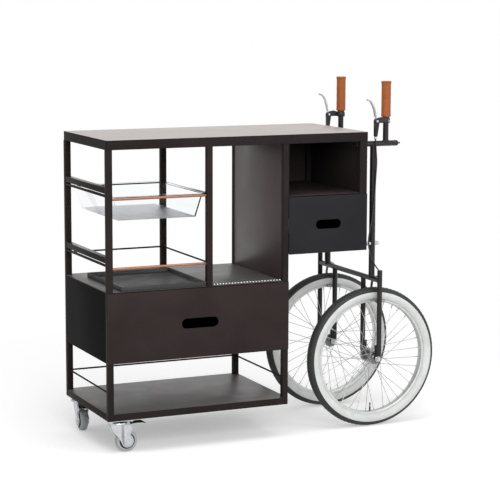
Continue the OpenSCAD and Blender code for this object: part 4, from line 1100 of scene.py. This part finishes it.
def caliper(side, s):
    """Side-pull arms with their pads, the anchored wire and the pad screws."""
    pad_back, pad_top, wire_r = 24.6, 470, 0.8
    anchor_x, anchor_z, wire_top, wire_end = 1025, BOLT_Z - 8, BOLT_Z + 6, BOLT_Z - 12

    def pad_is_second(centre, normal):
        return int(abs(centre.y - s * WHEEL_Y) < pad_back and centre.z < pad_top)

    for way, d in (("out", -1), ("in", 1)):
        node = f"arm_{side}_{way}"
        rounded_piece(node, 0.9, CALIPER_ALLOY, PAD_GREY, choose=pad_is_second)
        place = at(PAD_SCREW_X[way], s * (WHEEL_Y - d * PAD_SCREW_Y), PAD_Z)
        parts = [stud_mesh([(place, (0, -s * d, 0), (1, 0, 0))], 3.8, 4.2, 4.2)]
        if way == "out":
            wire = [at(WIRE_X, s * WIRE_Y, z) for z in (wire_top, wire_end)]
            anchor = (at(anchor_x, s * WIRE_Y, anchor_z), (1, 0, 0), (0, 0, 1))
            parts += [pipe_mesh([wire], wire_r, SPOKE_STEEL), stud_mesh([anchor], 3.6, 3.6, 6)]
        place_piece(f"{node}_fittings", node, "zinc", *parts)


def caster_bracket(side, place, turn):
    """Two cheeks under a domed crown, each with a pressed panel and a round tongue over the wheel's middle.
    The axle has a hexagon head on one cheek and a round one on the other."""
    inside, outside, panel_foot, panel_crest, bolt_y = 15, 18, 17.8, 20.4, 20.2
    axle, axle_r, pedal_pin, pin_r = shift(TRAIL, 0, CASTER_R), 4, shift(24, 0, 93.5), 3

    def round_axle(radius, angles):
        return arc(radius, angles, TRAIL, CASTER_R)

    cheek = [(-33, 106.4), (-31.6, 98), (-29, 88.5), (-25, 79.5), (-19.4, 69.8), (-13.6, 63), (-8, 57.4),
             (-2.4, 49.6), (3, 41.8)]
    cheek += round_axle(22, sweep(192, 373, 12))
    cheek += [(47.4, 50.4), (42.6, 56.4), (39.2, 60.4), (39.6, 63), (44, 68), (48.4, 74), (49.4, 79),
              (47, 85), (41, 92), (36.6, 99), (35, 106.4)]
    foot = [(6, 98), (35, 98), (39, 92), (44.5, 84.5), (46.5, 79), (45.5, 75), (41.5, 70), (36.5, 64),
            (35.5, 60.5), (39.5, 56), (44, 50)]
    foot += round_axle(19.5, sweep(10, -131, -14)) + [(11, 30), (7.5, 44), (6, 60)]
    crest = [(16, 96), (34, 96.5), (37.8, 91), (43, 84), (45, 79), (44, 75.6), (40.2, 71), (35, 64.5),
             (33.9, 60), (38, 55.2), (42.6, 49.2)]
    crest += round_axle(17.5, sweep(10, -131, -14)) + [(16.6, 31), (16, 44), (16, 60)]
    bolt = [(0, 0), (9, 0), (9, 1.2), (7.4, 1.4), (6.6, 3.6), (4, 4.2), (0, 4.4)]
    crown = [(6.1, 102.5), (28, 102.5), (31.8, 100.4), (33.2, 99.6), (34, 100), (34, 101.6), (32.4, 104.6),
             (29, 106.3), (6.1, 106.3)]
    parts = []
    for d, out in TOWARDS_Y.items():
        bolt_place = place @ (axle + shift(0, d * bolt_y, 0))
        # The pressed panel's slopes take the darker zinc, which is painted shade.
        parts += [plate_mesh(cheek, (d * inside, d * outside), place, 0.8, ZINC),
                  plate_mesh(foot, (d * panel_foot, d * panel_crest), place, 0.5, ZINC, ZINC_SLOPE_SHADE,
                             crest=crest),
                  spun_mesh(bolt, bolt_place, turn @ out, 6 if d < 0 else 24, ZINC)]
    parts.append(spun_mesh(crown, place.to_translation(), turn, 56, ZINC))
    for radius, spot in ((pin_r, pedal_pin), (axle_r, axle)):
        pin = [(0, -outside), (radius, -outside), (radius, outside), (0, outside)]
        parts.append(spun_mesh(pin, place @ spot, turn @ ALONG_Y, 20, ZINC))
    stand_in(f"caster_bracket_{side}", f"caster_fork_{side}", *parts)


def caster_wheel(side, place, turn):
    """Grey tread round a pale boss, with a black ring on either side out to just past the bracket's tongue:
    painted shade for the gap between tongue and tread.
    """
    boss_r, shade_ring_r = 9.9, 26.6
    boss = [(4.05, 14.6), (9, 14.6), (9.6, 14.2)]
    # This black ring is painted shade.
    guard = [(10, 13.8), (25.4, 13.8), (26, 13.4), (26.2, 12.2)]
    tread = [(26.8, 12), (27.6, 12.7), (29.5, 13), (32, 12.8), (34.6, 11.6), (36.4, 9), (37.3, 5),
             (CASTER_R, 1.6)]
    section = mirrored(boss + guard + tread)
    outline = []
    for (r, y), (next_r, _) in zip(section, section[1:] + section[:1]):
        middle = (r + next_r) / 2
        outline.append((r, y, 2 if middle < boss_r else 0 if middle < shade_ring_r else 1))
    wheel = spun_mesh(outline, place @ shift(TRAIL, 0, CASTER_R), turn @ ALONG_Y, 72,
                      MOULDED_BLACK_AND_SHADE, CASTER_GREY, CASTER_CORE)
    stand_in(f"caster_wheel_{side}_rolled", f"caster_wheel_{side}", wheel, angle=30)


def caster_pedal(side, place, turn):
    """Brake pedal with grip ridges near its tip."""
    first_x, step, top, count, ridge_size = 66, 4.5, 99.8, 5, (22, 1.6, 1.2)
    rounded_piece(f"caster_pedal_{side}", 1.2, MOULDED_BLACK_AND_SHADE)
    across = turn @ Vector((0, 1, 0))
    places = [(place @ shift(first_x + step * k, 0, top), (0, 0, 1), across) for k in range(count)]
    ridges = block_mesh(places, ridge_size, MOULDED_BLACK_AND_SHADE)
    place_piece(f"pedal_ridges_{side}", f"pedal_{side}", "pedal", ridges)


def caster(side):
    """Bracket, wheel and pedal about one kingpin."""
    x, y, degrees = CASTERS[side]
    place = Matrix.Translation(at(x, y, 0)) @ Matrix.Rotation(math.radians(degrees), 4, "Z")
    for make in (caster_bracket, caster_wheel, caster_pedal):
        make(side, place, place.to_3x3())


def caster_plates():
    """Plates under the frame with their bearing cups, and a bolt in each corner. The cups' sides are black:
    partly the black bearing seal, partly painted shade under the frame.
    """
    plate_bottom, upright, bolt_z = 114.5, 0.5, 114.9

    def cup_side_is_seal_and_shade(centre, normal):
        return int(abs(normal.z) < upright and centre.z < plate_bottom)

    rounded_piece("caster_plates", 0.8, ZINC, MOULDED_BLACK_AND_SHADE, choose=cup_side_is_seal_and_shade)
    bolts = [(at(PLATE_X + x, s * PLATE_Y + y, bolt_z), (0, 0, -1), (1, 0, 0)) for s in SIDES.values()
             for x in (-PLATE_BOLT, PLATE_BOLT) for y in (-PLATE_BOLT, PLATE_BOLT)]
    place_piece("plate_bolts", "frame", "zinc", stud_mesh(bolts, 6.2, 6.6, 4.8))


photo_camera()
studio()
frame_and_panels()
rods()
bead_trim()
cross_bar()
axles()
wall_spacers()
caster_plates()
for side, sign in SIDES.items():
    for make in (tyre, rim, spokes, hub, fork_legs, stem, grip, brake_lever, brake_cable, caliper):
        make(side, sign)
    caster(side)
